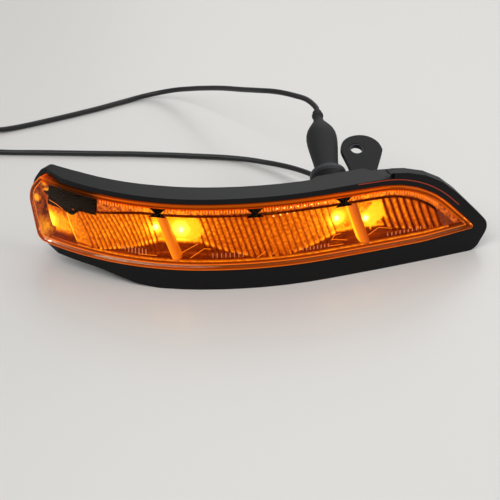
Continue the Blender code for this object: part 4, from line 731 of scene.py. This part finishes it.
def chamberSpans():
    # first and last place of each chamber, and the depths there
    size = reflectorSize
    left, right = lampPlaces["posts"]
    crest = (left + right) / 2.0 - size["crestShift"]
    gapA, gapB, gapC, gapD = [chamber[0] for chamber in size["chambers"]]
    return ((size["leftEnd"], left - gapA, size["endDepth"], size["lampDepth"]),
            (left + gapB, crest, size["lampDepth"], size["crestDepth"]),
            (crest, right - gapC, size["crestDepth"], size["lampDepth"]),
            (right + gapD, lensSize["right"] - size["rightMargin"], size["lampDepth"], size["crestDepth"]))


def reflectorColumns():
    # place, depth, brightness and share of the end cap for each section
    size, cap = reflectorSize, reflectorSize["cap"]
    spans = chamberSpans()
    columns = []
    for step in range(cap["steps"] + 1):
        turn = pi / 2.0 * step / cap["steps"]
        lit = cap["bright"] if step < cap["brightSteps"] else cap["light"] - cap["fall"] * sin(turn)
        columns.append((size["leftEnd"] - cap["width"] * cos(turn),
                        size["endDepth"] + (1.0 - sin(turn)) * cap["back"], lit, cos(turn)))
    for index, (start, end, depthA, depthB) in enumerate(spans):
        count, groove, narrow = size["chambers"][index][1:]
        total = count * size["steps"]
        for step in range(total + 1):
            share = step / total
            wave = sin(pi * ((step % size["steps"]) / size["steps"]))
            depth = depthA + (depthB - depthA) * share - size["flute"] * wave ** size["fluteRound"]
            lit = groove + (1.0 - groove) * wave ** narrow
            columns.append((start + (end - start) * share, depth, lit, 0.0))
        gap = spans[index + 1][0] - end if index < len(spans) - 1 else 0.0
        pieces = int(gap / size["joinPitch"])
        for step in range(1, pieces):
            bulge = size["joinBulge"] * sin(pi * step / pieces)
            columns.append((end + gap * step / pieces, depthB + bulge, size["joinLight"], 0.0))
    kept = [columns[0]]
    for column in columns[1:]:
        if column[0] - kept[-1][0] > size["leastPitch"]:
            kept.append(column)
    return kept


topInset = lensSize["wall"] + upperFit["stripGap"] + upperFit["stripHeight"] + upperFit["lipGap"]
reflectorEdge = roundedOutline(upperLine(topInset))


def upperDip(along):
    return upperFit["dip"] * smoothStep(along, *upperFit["dipSpan"])


def reflectorTop(along):
    return upperEdge(reflectorEdge, along) - upperDip(along)


def footRise(along):
    line = reflectorSize["footLine"]
    for (x, rise), (nextX, nextRise) in zip(line, line[1:]):
        if along <= nextX:
            return rise + (nextRise - rise) * (along - x) / (nextX - x)


def reflectorFloor(along=0.0):
    share = max(0.0, along - lensSize["shoulder"] + reflectorSize["riseStart"])
    rise = lensSize["tipRise"] * share / (lensSize["right"] - lensSize["shoulder"])
    return lensSize["bottom"] + lensSize["wall"] + reflectorSize["floorGap"] + rise


middleLevel = (reflectorFloor() + lensTop) / 2.0


def fluteLight(x, level, above, lit):
    # above is the share of the wall's lit height
    size = reflectorSize["light"]
    light = lampLight(x, level) * lit * size["base"] * changed(x, *size["left"])
    light *= changed(above, *size["rise"]) * changed(above, *size["lip"])
    return light * changed(above, *size["scallop"]) if lit > size["scallopLeast"] else light


def reflectorSection(place, depth, lit, cap):
    # points from the front of the ledge, over the wall, to the front of the lip, each with its light
    size, capSize = reflectorSize, reflectorSize["cap"]
    ledge, lip = reflectorSize["ledge"], reflectorSize["lip"]
    front = size["front"]

    def leaning(level):
        # steeper towards the left end; the end cap stands more upright and bulges to the left at its middle
        steeper = (size["extraLean"] - capSize["upright"] * cap) * smoothStep(place, *size["leanSpan"])
        bulge = cap * capSize["bulge"] * (1.0 - ((level - middleLevel) / capSize["halfHeight"]) ** 2)
        return place + (middleLevel - level) * tan(size["lean"]) * (1.0 + steeper) - bulge

    floor = reflectorFloor(place)
    base = floor + size["wallRise"]
    top = reflectorTop(place)
    for attempt in range(size["leanTries"]):
        top = (top + reflectorTop(leaning(top))) / 2.0
    top = max(top, base + size["leastWall"])
    deep = depth - size["bowl"]
    x = leaning(floor)
    rows = [(x, front + inward, floor + rise, light) for inward, rise, light in ledge["ridges"]]
    far = lampLight(place, floor)
    for share in ledge["shares"]:
        inward = max(ledge["least"], ledge["start"] + (deep - front - ledge["start"]) * share)
        light = ledge["shade"] + ledge["lit"] * far * lit * share
        light += ledge["back"] * max(0.0, share - ledge["backStart"])
        rows.append((x, front + inward, floor + ledge["rise"] * share, light))
    rise = min(footRise(place), (top - base) * size["footShare"])
    low = base + rise
    levels = [base + rise * row / size["footRows"] for row in range(size["footRows"])]
    levels += [low + (top - low) * row / size["rows"] for row in range(size["rows"] + 1)]
    for row, level in enumerate(levels):
        bow = size["bowl"] * (2.0 * (level - base) / (top - base) - 1.0) ** 2
        if row < size["footRows"]:
            light = size["light"]["foot"] * (1.0 + lit)
        else:
            light = fluteLight(leaning(level), level, (level - low) / (top - low), lit)
        rows.append((leaning(level), depth - bow, level, light))
    rows.append((leaning(top), (deep + front) / 2.0, top + lip["rise"], lip["light"]))
    rows.append((leaning(top), front + lip["endGap"], top + lip["endRise"], lip["endLight"]))
    return rows


def withFacets(x, depth, z, light):
    size = reflectorSize["facetLight"]
    if depth <= size["depth"] or z <= size["level"]:
        return light
    for lamp, corners in reflectorSize["facets"]:
        if all((b[0] - a[0]) * (z - a[1]) < (b[1] - a[1]) * (x - a[0])
               for a, b in zip(corners, corners[1:] + corners[:1])):
            away = hypot(x - lampPlaces["leds"][lamp], z - lampPlaces["levels"][lamp])
            return max(light, size["near"] - size["fall"] * away)
    return light


def makeReflector():
    sections = [reflectorSection(*column) for column in reflectorColumns()]
    count = len(sections[0])
    points = [point for section in sections for point in section]
    starts = range(0, (len(sections) - 1) * count, count)
    faces = [(first + row, first + count + row, first + count + row + 1, first + row + 1)
             for first in starts for row in range(count - 1)]
    verts = [bendPoint(point[:3]) for point in points]
    light = [withFacets(*point) for point in points]
    piece = pieceFrom("flutedReflector", verts, faces, "metallised_plastic", 60.0, light)
    # an open sheet has no outside of its own: it faces the lens
    centre = bendPoint((20.0, 9.0, 28.0))
    middle = min(piece.data.polygons, key=lambda face: (face.center - centre).length)
    if middle.normal.y > 0.0:
        piece.data.flip_normals()
    wall = piece.modifiers.new("wall", "SOLIDIFY")
    wall.thickness = reflectorSize["wall"] * mm
    wall.offset = -1.0
    finished(piece, "reflector")


makeReflector()
print("reflector")


# Lens: an outer skin with a rounded rim, and an inner skin a wall behind it

# inset, depth and light of each ring, the inner skin's beyond the wall: orange round a face that stays clear
lensRings = {
    "outer": ((0.0, 5.0, 0.14), (0.0, 1.5, 0.24), (0.12, 0.87, 0.5), (0.44, 0.38, 0.95), (0.87, 0.1, 0.3),
              (1.5, 0.0, 0.12), (2.1, 0.0, 0.0)),
    "inner": ((0.9, 0.0, 0.0), (0.35, 0.1, 0.6), (0.05, 0.5, 0.4), (0.0, 2.2, 0.1)),
    "skirtLight": 0.05, "columnPitch": 3.0, "leftMargin": 9.0, "rightMargin": 3.0, "rowPitch": 4.0,
    "rowMargin": 2.0, "merge": 0.002,
    # brighter below than above, fading towards the tip, and dark above the black bezel
    "light": {"left": 0.8, "leftMargin": 1.0, "upper": 0.34, "lower": 0.76, "levels": (-8.0, -18.0),
              "tip": (-0.5, 119.0, 149.0), "shade": 0.82, "shadeLeft": (-88.0, -80.0),
              "shadeRight": (-55.0, -60.0), "shadeLevels": (-14.0, -10.0)},
}


def rimShare(x, z):
    size, rise = lensRings["light"], z - lensTop
    side = size["upper"] + size["lower"] * smoothStep(rise, *size["levels"])
    if x < lensSize["left"] + size["leftMargin"]:
        side = size["left"]
    shade = smoothStep(x, *size["shadeLeft"]) * smoothStep(x, *size["shadeRight"])
    shade *= size["shade"] * smoothStep(rise, *size["shadeLevels"])
    return side * changed(x, *size["tip"]) * (1.0 - shade)


def makeLens():
    wall, skirt, glimmer = lensSize["wall"], lensSize["skirt"], lensRings["skirtLight"]
    outer = [(0.0, skirt, glimmer), *lensRings["outer"]]
    inner = [(wall + inset, wall + depth, lit) for inset, depth, lit in lensRings["inner"]]
    inner.append((wall, skirt, glimmer))
    shape = bmesh.new()
    layer = shape.verts.layers.float.new("lampLight")
    rings = []
    for inset, depth, lit in outer + inner:
        rings.append([shape.verts.new((x, depth, z)) for x, z in roundedOutline(lensCorners(), inset)])
        for vert in rings[-1]:
            vert[layer] = lit * rimShare(vert.co.x, vert.co.z)
    last = len(outer)
    for number, ring in enumerate(rings):
        following = rings[(number + 1) % len(rings)]
        if number == last - 1:
            # the outer and the inner face, each across its own ring
            shape.faces.new(ring)
            shape.faces.new(following)
            continue
        for index in range(-1, len(ring) - 1):
            shape.faces.new((ring[index], ring[index + 1], following[index + 1], following[index]))
    left, right = lensSize["left"] - lensRings["leftMargin"], lensSize["right"] - lensRings["rightMargin"]
    low, high = lensSize["bottom"] + lensRings["rowMargin"], lensTop - lensRings["rowMargin"]
    sliceAlong(shape, 0, evenly(left, right, lensRings["columnPitch"]))
    sliceAlong(shape, 2, evenly(low, high, lensRings["rowPitch"]))
    bmesh.ops.triangulate(shape, faces=[face for face in shape.faces if len(face.verts) > 4])
    bmesh.ops.remove_doubles(shape, verts=shape.verts, dist=lensRings["merge"])
    for vert in shape.verts:
        vert.co = bendPoint(vert.co)
    bmesh.ops.recalc_face_normals(shape, faces=shape.faces)
    mesh = bpy.data.meshes.new("outerLens")
    shape.to_mesh(mesh)
    shape.free()
    finished(dressMesh("outerLens", mesh, "clear_polycarbonate", 50.0), "lens")


makeLens()
print("lens")


# Domes of the lamps

domeSize = {"radius": 1.9, "rise": 1.6, "back": 14.0, "front": 12.2, "turn": radians(12.0), "steps": 8,
            "sides": 24, "smallest": 0.04}


def makeDome(index):
    size = domeSize
    place, level = lampPlaces["leds"][index - 1], lampPlaces["levels"][index - 1]
    turns = [size["turn"] * step for step in range(size["steps"])]
    stations = [(size["front"] - size["rise"] * sin(turn), cos(turn)) for turn in turns]
    rings = []
    for depth, share in [(size["back"], 1.0)] + stations:
        radius = size["radius"] * max(share, size["smallest"])
        rings.append([(place + x, depth, level + z) for x, z in circle(radius, size["sides"])])
    finished(loft("ledDome%d" % index, rings, "amber_led", sharp=60.0), "led_%d" % index)


# Half-round bars in front of the lamps

postSize = {"low": 14.1, "topGap": 0.5, "back": 10.4, "footFront": 3.0, "recede": 3.6, "headShare": 0.8,
            "steps": 24, "sides": 20, "round": 0.6,
            # shift from the CAD's place, half the width at foot and head, lean, light and its fall rightwards
            "posts": ((-3.9, 2.6, 2.9, radians(24.0), 1.0, 0.35),
                      (-1.4, 2.9, 3.5, radians(17.0), 0.72, 0.45)),
            # a painted highlight line along the left side, and painted shade at the foot
            "edge": 0.7, "edgeRight": (-0.62, -0.74), "edgeLeft": (-0.96, -0.86), "dark": (-0.75, 1.6, 0.4)}


def makePost(index):
    size = postSize
    shift, foot, head, lean, shine, fall = size["posts"][index - 1]
    centre = lampPlaces["posts"][index - 1] + shift
    low, high, back = size["low"], reflectorTop(centre) - size["topGap"], size["back"]
    turns = [pi * side / size["sides"] for side in range(size["sides"] + 1)]
    rings = []
    for step in range(size["steps"] + 1):
        share = step / size["steps"]
        level = low + (high - low) * share
        half = foot + (head - foot) * share
        bulge = back - size["footFront"] - size["recede"] * smoothStep(share, 0.0, size["headShare"])
        x = centre + (middleLevel - level) * tan(lean)
        rings.append([(x + half * cos(turn), back - bulge * sin(turn) ** size["round"], level)
                      for turn in turns])

    def light(point):
        x, depth, level = point
        across = (x - centre - (middleLevel - level) * tan(lean)) / head
        edge = smoothStep(across, *size["edgeRight"]) * smoothStep(across, *size["edgeLeft"])
        light = shine - fall * across + size["edge"] * edge
        return light * changed(level - low, *size["dark"])

    finished(loft("postCover%d" % index, rings, "frosted", light, 60.0), "post_cover_%d" % index)


# Leaning sheet between the light guide and the fluted reflector, brightest beside the guide

panelSize = {"rows": 26, "ledgeRows": 6, "columns": 26, "thickness": 0.5, "lowGap": 0.1, "topGap": 12.2,
             "leftGap": 7.0, "right": -68.0, "lean": 0.3, "front": 3.3, "depth": 7.5, "step": 2.2,
             "stepSpan": (-76.0, -70.0),
             # its light: the lit front edge, the ledge, a spot, and a broad glow at the left
             "base": 0.16, "edge": 0.7, "edgeDepth": 4.0, "ledge": 0.13, "ledgeRise": 0.1,
             "spot": (-89.5, 20.5), "near": 3.0, "reach": 1.9, "squash": 0.7, "side": 1.15,
             "sideSpan": (-68.0, -80.0), "sideLevels": (14.6, 18.6), "sideFall": (-0.85, 22.0, 30.0)}


def makeEndPanel():
    size = panelSize
    low, high = reflectorFloor() - size["lowGap"], lensTop - size["topGap"]
    wide = size["columns"] + 1
    top, bottom = [], []
    for row in range(size["rows"] + 1):
        level = low + (high - low) * max(0, row - size["ledgeRows"]) / (size["rows"] - size["ledgeRows"])
        bulge = lensSize["endBulge"] * (level - lensSize["bottom"]) / lensSize["endLevel"]
        left = lensSize["left"] + size["leftGap"] - bulge
        right = size["right"] - size["lean"] * (level - low)
        under = size["thickness"] if row <= size["ledgeRows"] else 0.0
        for column in range(wide):
            x = left + (right - left) * column / size["columns"]
            depth = size["depth"] + size["step"] * smoothStep(x, *size["stepSpan"])
            depth = size["front"] + (depth - size["front"]) * min(1.0, row / size["ledgeRows"])
            top.append((x, depth, level))
            bottom.append((x, depth + size["thickness"], level - under))
    count = len(top)
    faces = []
    for row in range(size["rows"]):
        for first in range(row * wide, row * wide + size["columns"]):
            quad = (first, first + 1, first + wide + 1, first + wide)
            faces += [quad, tuple(count + index for index in quad[::-1])]
    rim = [*range(wide), *range(2 * wide - 1, count, wide), *range(count - 2, count - wide - 1, -1),
           *range(count - 2 * wide, 0, -wide)]
    for first, following in zip(rim, rim[1:] + rim[:1]):
        faces.append((first, count + first, count + following, following))

    def light(point):
        x, depth, level = point
        if level < low + size["ledgeRise"]:
            return size["edge"] if depth < size["edgeDepth"] else size["ledge"]
        spotX, spotLevel = size["spot"]
        away = hypot(x - spotX, (level - spotLevel) * size["squash"]) / size["reach"]
        side = size["side"] * smoothStep(x, *size["sideSpan"])
        side *= smoothStep(level, *size["sideLevels"]) * changed(level, *size["sideFall"])
        return size["base"] + size["near"] / (1.0 + away ** 2) + side

    points = top + bottom
    piece = pieceFrom("endPanel", [bendPoint(point) for point in points], faces, "metallised_plastic",
                      light=[light(point) for point in points])
    finished(piece, "end_reflector")


# Glossy black cover over the top of the end light: its edges are points by depth and rise

bezelSize = {"left": -88.6, "width": 30.2, "steps": 32, "low": 31.5, "drop": 1.6, "dropSpan": (-80.0, -72.0),
             "rise": 3.6, "riseSpan": (-73.0, -67.0), "topGap": 0.5, "middleDepth": 3.25,
             "lowEdge": ((7.6, 0.0), (3.9, 0.0), (3.3, 0.35), (3.0, 1.0)),
             "topEdge": ((3.0, -1.0), (3.6, -0.2), (7.6, 0.0))}


def makeBezel():
    size = bezelSize
    top = lensTop - lensSize["wall"] - size["topGap"]
    rings = []
    for step in range(size["steps"] + 1):
        x = size["left"] + size["width"] * step / size["steps"]
        low = size["low"] - size["drop"] * smoothStep(x, *size["dropSpan"])
        low += size["rise"] * smoothStep(x, *size["riseSpan"])
        rings.append([(x, depth, low + rise) for depth, rise in size["lowEdge"]] +
                     [(x, size["middleDepth"], (low + top) / 2.0)] +
                     [(x, depth, top + rise) for depth, rise in size["topEdge"]])
    finished(loft("endBezel", rings, "polished", sharp=60.0), "end_bezel")


# Clear band above the reflector, wider towards the left, with a plain end at the right tip

stripSize = {"left": -57.3, "count": 198, "pitch": 1.0, "front": 3.6, "edge": 3.9, "back": 6.4, "bevel": 0.25,
             "topGap": 0.1, "footGap": 0.4, "lowEnd": 136.0, "footSpan": (127.0, 132.0), "least": 0.8,
             "splitStart": 120.0, "splitEnd": 139.0, "splitRise": 0.3, "splitGap": 0.5, "splitStep": 0.15,
             # its painted light: a base level, more near each lamp, half on the back faces, and a low even
             # light on the plain end
             "base": 0.48, "near": 0.55, "reach": 12.0, "backShare": 0.5, "plainStart": 122.0, "plain": 0.16,
             "slack": 0.1}


def makeStrip():
    size = stripSize
    inset = lensSize["wall"] + upperFit["stripGap"]
    upper = roundedOutline(upperLine(inset))
    lower = roundedOutline(upperLine(inset + upperFit["stripHeight"]))
    front, edge, back = size["front"], size["edge"], size["back"]
    rings = []
    for step in range(size["count"]):
        x = size["left"] + step * size["pitch"]
        floor = reflectorFloor(x) + size["footGap"]
        low = max(upperEdge(lower, min(x, size["lowEnd"])), floor) - upperDip(x)
        low -= (low - floor) * smoothStep(x, *size["footSpan"])
        top = max(upperEdge(upper, x) - size["topGap"], low + size["least"])
        split = upperEdge(lower, min(x, size["splitEnd"])) if x > size["splitStart"] else low
        split = min(max(low + size["splitRise"], split), top - size["splitGap"])
        rings.append([(x, back, low), (x, edge, low), (x, front, low + size["bevel"]), (x, front, split),
                      (x, front, split + size["splitStep"]), (x, front, top - size["bevel"]), (x, edge, top),
                      (x, back, top)])

    def light(point):
        x, depth, level = point
        plainTop = upperEdge(lower, min(x, size["splitEnd"])) + size["slack"]
        if x > size["plainStart"] and level < plainTop:
            return size["plain"]
        away = min(abs(x - led) for led in lampPlaces["leds"])
        bright = size["base"] + size["near"] / (1.0 + (away / size["reach"]) ** 2)
        return bright * (size["backShare"] if depth > front + size["slack"] else 1.0)

    finished(loft("trimStrip", rings, "strip", light, 30.0), "trim_strip")


# Rows of ribs down the trim strip and on the ledge, lit with painted glow and highlights,
# and of beads that are painted glints of the prisms at the flutes' heads and on the strip

ribSize = {"span": (-55.5, 128.0), "pitch": 1.45, "scale": (0.6, 0.5, 2.9), "depth": 3.75}
ledgeRibSize = {"thickness": 0.4, "depth": 6.6, "rise": 0.2,
                # name, first and last place, pitch and height
                "rows": (("ledgeRibsA", -47.5, -30.0, 1.75, 3.4), ("ledgeRibsB", 6.0, 31.0, 2.1, 2.8),
                         ("ledgeRibsC", 46.0, 68.0, 1.9, 2.0), ("ledgeRibsD", 101.0, 122.0, 2.1, 1.8))}
glintBeadSize = {"radius": 0.34, "flutes": (1.5, 9.5), "below": 1.3, "front": 1.4, "span": (40.0, 66.0),
             "depth": 3.5}


def linePath(low, high, step, level, depth):
    # points along the lamp at a level and a depth that may both follow the place
    count = max(2, round((high - low) / step))
    places = [low + (high - low) * index / count for index in range(count + 1)]
    return [bendPoint((place, depth(place), level(place))) for place in places]


def makeRows():
    block, bead = pattern("block"), pattern("bead", glintBeadSize["radius"])
    middle = lensSize["wall"] + upperFit["stripGap"] + upperFit["stripHeight"] / 2.0
    stripMiddle = roundedOutline(upperLine(middle))

    def stripLevel(place):
        return upperEdge(stripMiddle, place)

    path = linePath(*ribSize["span"], 1.0, stripLevel, lambda place: ribSize["depth"])
    addRow("stripRibs", path, "rib", ribSize["pitch"], ribSize["scale"], block)
    for name, low, high, pitch, tall in ledgeRibSize["rows"]:
        rise = ledgeRibSize["rise"] + tall / 2.0
        path = linePath(low, high, 1.0, lambda place: reflectorFloor(place) + rise,
                        lambda place: ledgeRibSize["depth"])
        scale = (ledgeRibSize["thickness"], ledgeRibSize["thickness"], tall)
        addRow(name, path, "ledgeRib", pitch, scale, block)
    start, end, depthA, depthB = chamberSpans()[2]
    pitch = (end - start) / reflectorSize["chambers"][2][1]
    low, high = (start + pitch * flute for flute in glintBeadSize["flutes"])
    headPath = linePath(low, high, pitch, lambda place: reflectorTop(place) - glintBeadSize["below"],
                        lambda place: depthA + (depthB - depthA) * (place - start) / (end - start) -
                        glintBeadSize["front"])
    stripPath = linePath(*glintBeadSize["span"], pitch, stripLevel, lambda place: glintBeadSize["depth"])
    for name, path in (("fluteGlints", headPath), ("stripGlints", stripPath)):
        addRow(name, path, "bead", pitch, (1.0, 1.0, 1.0), bead)
    for piece in (block, bead):
        bpy.data.objects.remove(piece)


# Painted highlights: thin glowing tubes where the edges between the plane facets under the lamps, and the
# bezel's, catch the light as thin lines

facetHighlights = {"radius": 0.14, "sides": 8, "lines": (
    ((-11.0, 8.0, 16.6), (-2.0, 9.5, 21.2)),
    ((-6.0, 5.8, 15.2), (1.5, 8.6, 19.0), (5.0, 9.0, 18.4)),
    ((-34.0, 5.8, 15.3), (-24.0, 6.4, 15.2)),
    ((70.5, 9.6, 16.0), (72.5, 9.6, 19.0), (76.0, 9.6, 19.4)),
    ((68.0, 6.4, 15.4), (76.0, 6.2, 15.2)),
    ((71.0, 9.0, 17.2), (79.0, 8.6, 15.6)),
    ((91.0, 9.0, 16.0), (97.0, 9.6, 18.8), (104.0, 8.0, 18.0)),
    ((29.0, 4.4, 15.2), (33.5, 4.6, 18.2)),
    ((36.0, 4.4, 15.2), (39.5, 4.6, 18.6)),
    ((-87.6, 3.1, 34.4), (-83.0, 3.1, 33.6), (-78.5, 3.05, 32.2)),
)}
# painted glow: a dark red line of the lamps' light along the housing's edge above the lens, laid on its
# surface
lipLine = {"start": 84.0, "count": 57, "rise": 3.0, "reach": 8.0, "radius": 0.24, "sides": 10}


def addLine(name, path, look, size):
    finished(grow(name, tubeTree, path, look, Radius=size["radius"] * mm, Sides=size["sides"]), None)


def makeFacetHighlights():
    for index, line in enumerate(facetHighlights["lines"]):
        path = [bendPoint(point) for point in line]
        addLine("facetEdge%d" % index, path, "rib", facetHighlights)


def makeLipLine():
    edge = roundedOutline(upperLine(-lipLine["rise"]))
    housing = nodes["housing"]
    back = housing.matrix_world.inverted()
    path = []
    for step in range(lipLine["count"]):
        x = lipLine["start"] + step
        level = upperEdge(edge, x)
        start, far = (back @ bendPoint((x, side * lipLine["reach"], level)) for side in (-1.0, 1.0))
        hit, place = housing.ray_cast(start, (far - start).normalized())[:2]
        if hit:
            path.append(housing.matrix_world @ place)
    addLine("lipLine", path, "lip", lipLine)


for index in (1, 2, 3, 4):
    makeDome(index)
for index in (1, 2):
    makePost(index)
makeEndPanel()
makeBezel()
makeStrip()
makeRows()
makeFacetHighlights()
makeLipLine()
print("pieces behind the lens")


# Grip ribs across the top face of each plug

gripSize = {"places": (-5.0, -2.5, 0.0), "sink": 0.25, "pitch": 1.25, "scale": (0.6, 7.0, 0.5)}


def makeGrips():
    block = pattern("block")
    for which in ("lamp", "courtesy"):
        plug = nodes[which + "_plug"]
        corners = [plug.matrix_world @ vert.co for vert in plug.data.vertices]
        centre = sum(corners, Vector()) / len(corners)
        along = (Vector(leads[which][-1]) - Vector(leads[which][-2])).normalized()
        along.z = 0.0
        along.normalize()
        centre.z = max(corner.z for corner in corners) - gripSize["sink"] * mm
        path = [centre + along * place * mm for place in gripSize["places"]]
        addRow(which + "PlugGrips", path, "black_rubber", gripSize["pitch"], gripSize["scale"],
               block)
    bpy.data.objects.remove(block)


makeGrips()


# Boot on the bulb holder, turned about the port's axis

bootSize = {
    "centre": (37.54, -0.8, 25.6), "axis": (-0.1039, 0.945, 0.31), "sides": 56,
    # radius and place along the axis, from the lead's end over the beads to the mouth
    "line": ((2.5, 57.2), (2.55, 55.6), (3.1, 55.2), (3.15, 54.0), (2.7, 53.6), (2.7, 51.4), (3.2, 49.6),
             (4.3, 47.8), (6.0, 45.0), (7.3, 42.6), (8.1, 40.0), (8.38, 37.6), (8.3, 34.4), (8.0, 31.0),
             (7.5, 27.0), (6.95, 22.5), (6.5, 18.0), (6.3, 15.6), (6.35, 14.6), (6.8, 14.2), (6.85, 12.9),
             (6.6, 12.35), (4.95, 12.35), (4.95, 22.5)),
}


def makeBoot():
    line, sides = bootSize["line"], bootSize["sides"]
    turn = Vector((0.0, 0.0, 1.0)).rotation_difference(Vector(bootSize["axis"])).to_matrix().to_4x4()
    place = Matrix.Translation(Vector(bootSize["centre"]) * mm) @ turn
    verts = [place @ (Vector((x, y, along)) * mm) for radius, along in line for x, y in circle(radius, sides)]
    faces = tubeFaces(len(line), sides)
    finished(pieceFrom("holderBoot", verts, faces, "black_rubber", 50.0), "holder_boot")


makeBoot()
print("grips and boot")


# Carried-over nodes take their slot's finish, or their own

ownFinish = {"end_light_guide": "guide", "end_led": "dimLed", "ear_bush": "darkSteel"}
roundNodes = ("housing", "holder_seal", "bulb_holder", "cable_gland", "ear_bush", "courtesy_bulb")


def dressNodes():
    for name, node in nodes.items():
        look = "polished" if name.startswith("trim_clip") else ownFinish.get(name, slots[name])
        node.data.materials.clear()
        node.data.materials.append(materials[look])
        if name in roundNodes:
            node.data.shade_smooth()
            node.data.set_sharp_from_angle(angle=radians(30.0))


dressNodes()
print("nodes", len(nodes))


# Floor, light and world

studio = {
    "floor": 6.0, "floorColour": "#dcdad6", "floorRoughness": 0.32, "sky": "#e6e8ea", "skyStrength": 0.45,
    "aim": (0.0, 0.0, 0.02),
    "lights": (("keyLight", (-0.5, -0.6, 1.1), 0.9, 7.5), ("backLight", (0.3, 1.0, 0.9), 1.2, 6.0),
               ("sideLight", (1.0, -0.2, 0.7), 0.8, 4.0)),
}


def makeStudio():
    bpy.ops.mesh.primitive_plane_add(size=studio["floor"], location=(0.0, 0.0, 0.0))
    floor = bpy.context.object
    floor.name = "paleFloor"
    table = newMaterial("paleSatinTable", studio["floorColour"], studio["floorRoughness"])[0]
    floor.data.materials.append(table)
    world = bpy.context.scene.world or bpy.data.worlds.new("studio")
    bpy.context.scene.world = world
    world.use_nodes = True
    sky = world.node_tree.nodes["Background"]
    sky.inputs["Color"].default_value = linear(studio["sky"])
    sky.inputs["Strength"].default_value = studio["skyStrength"]
    for name, place, size, power in studio["lights"]:
        data = bpy.data.lights.new(name, "AREA")
        data.energy = power
        data.size = size
        lamp = linkedObject(name, data)
        lamp.location = place
        lamp.rotation_euler = (Vector(studio["aim"]) - Vector(place)).to_track_quat("-Z", "Y").to_euler()


makeStudio()
bpy.context.scene.view_settings.view_transform = "Standard"
print("studio")
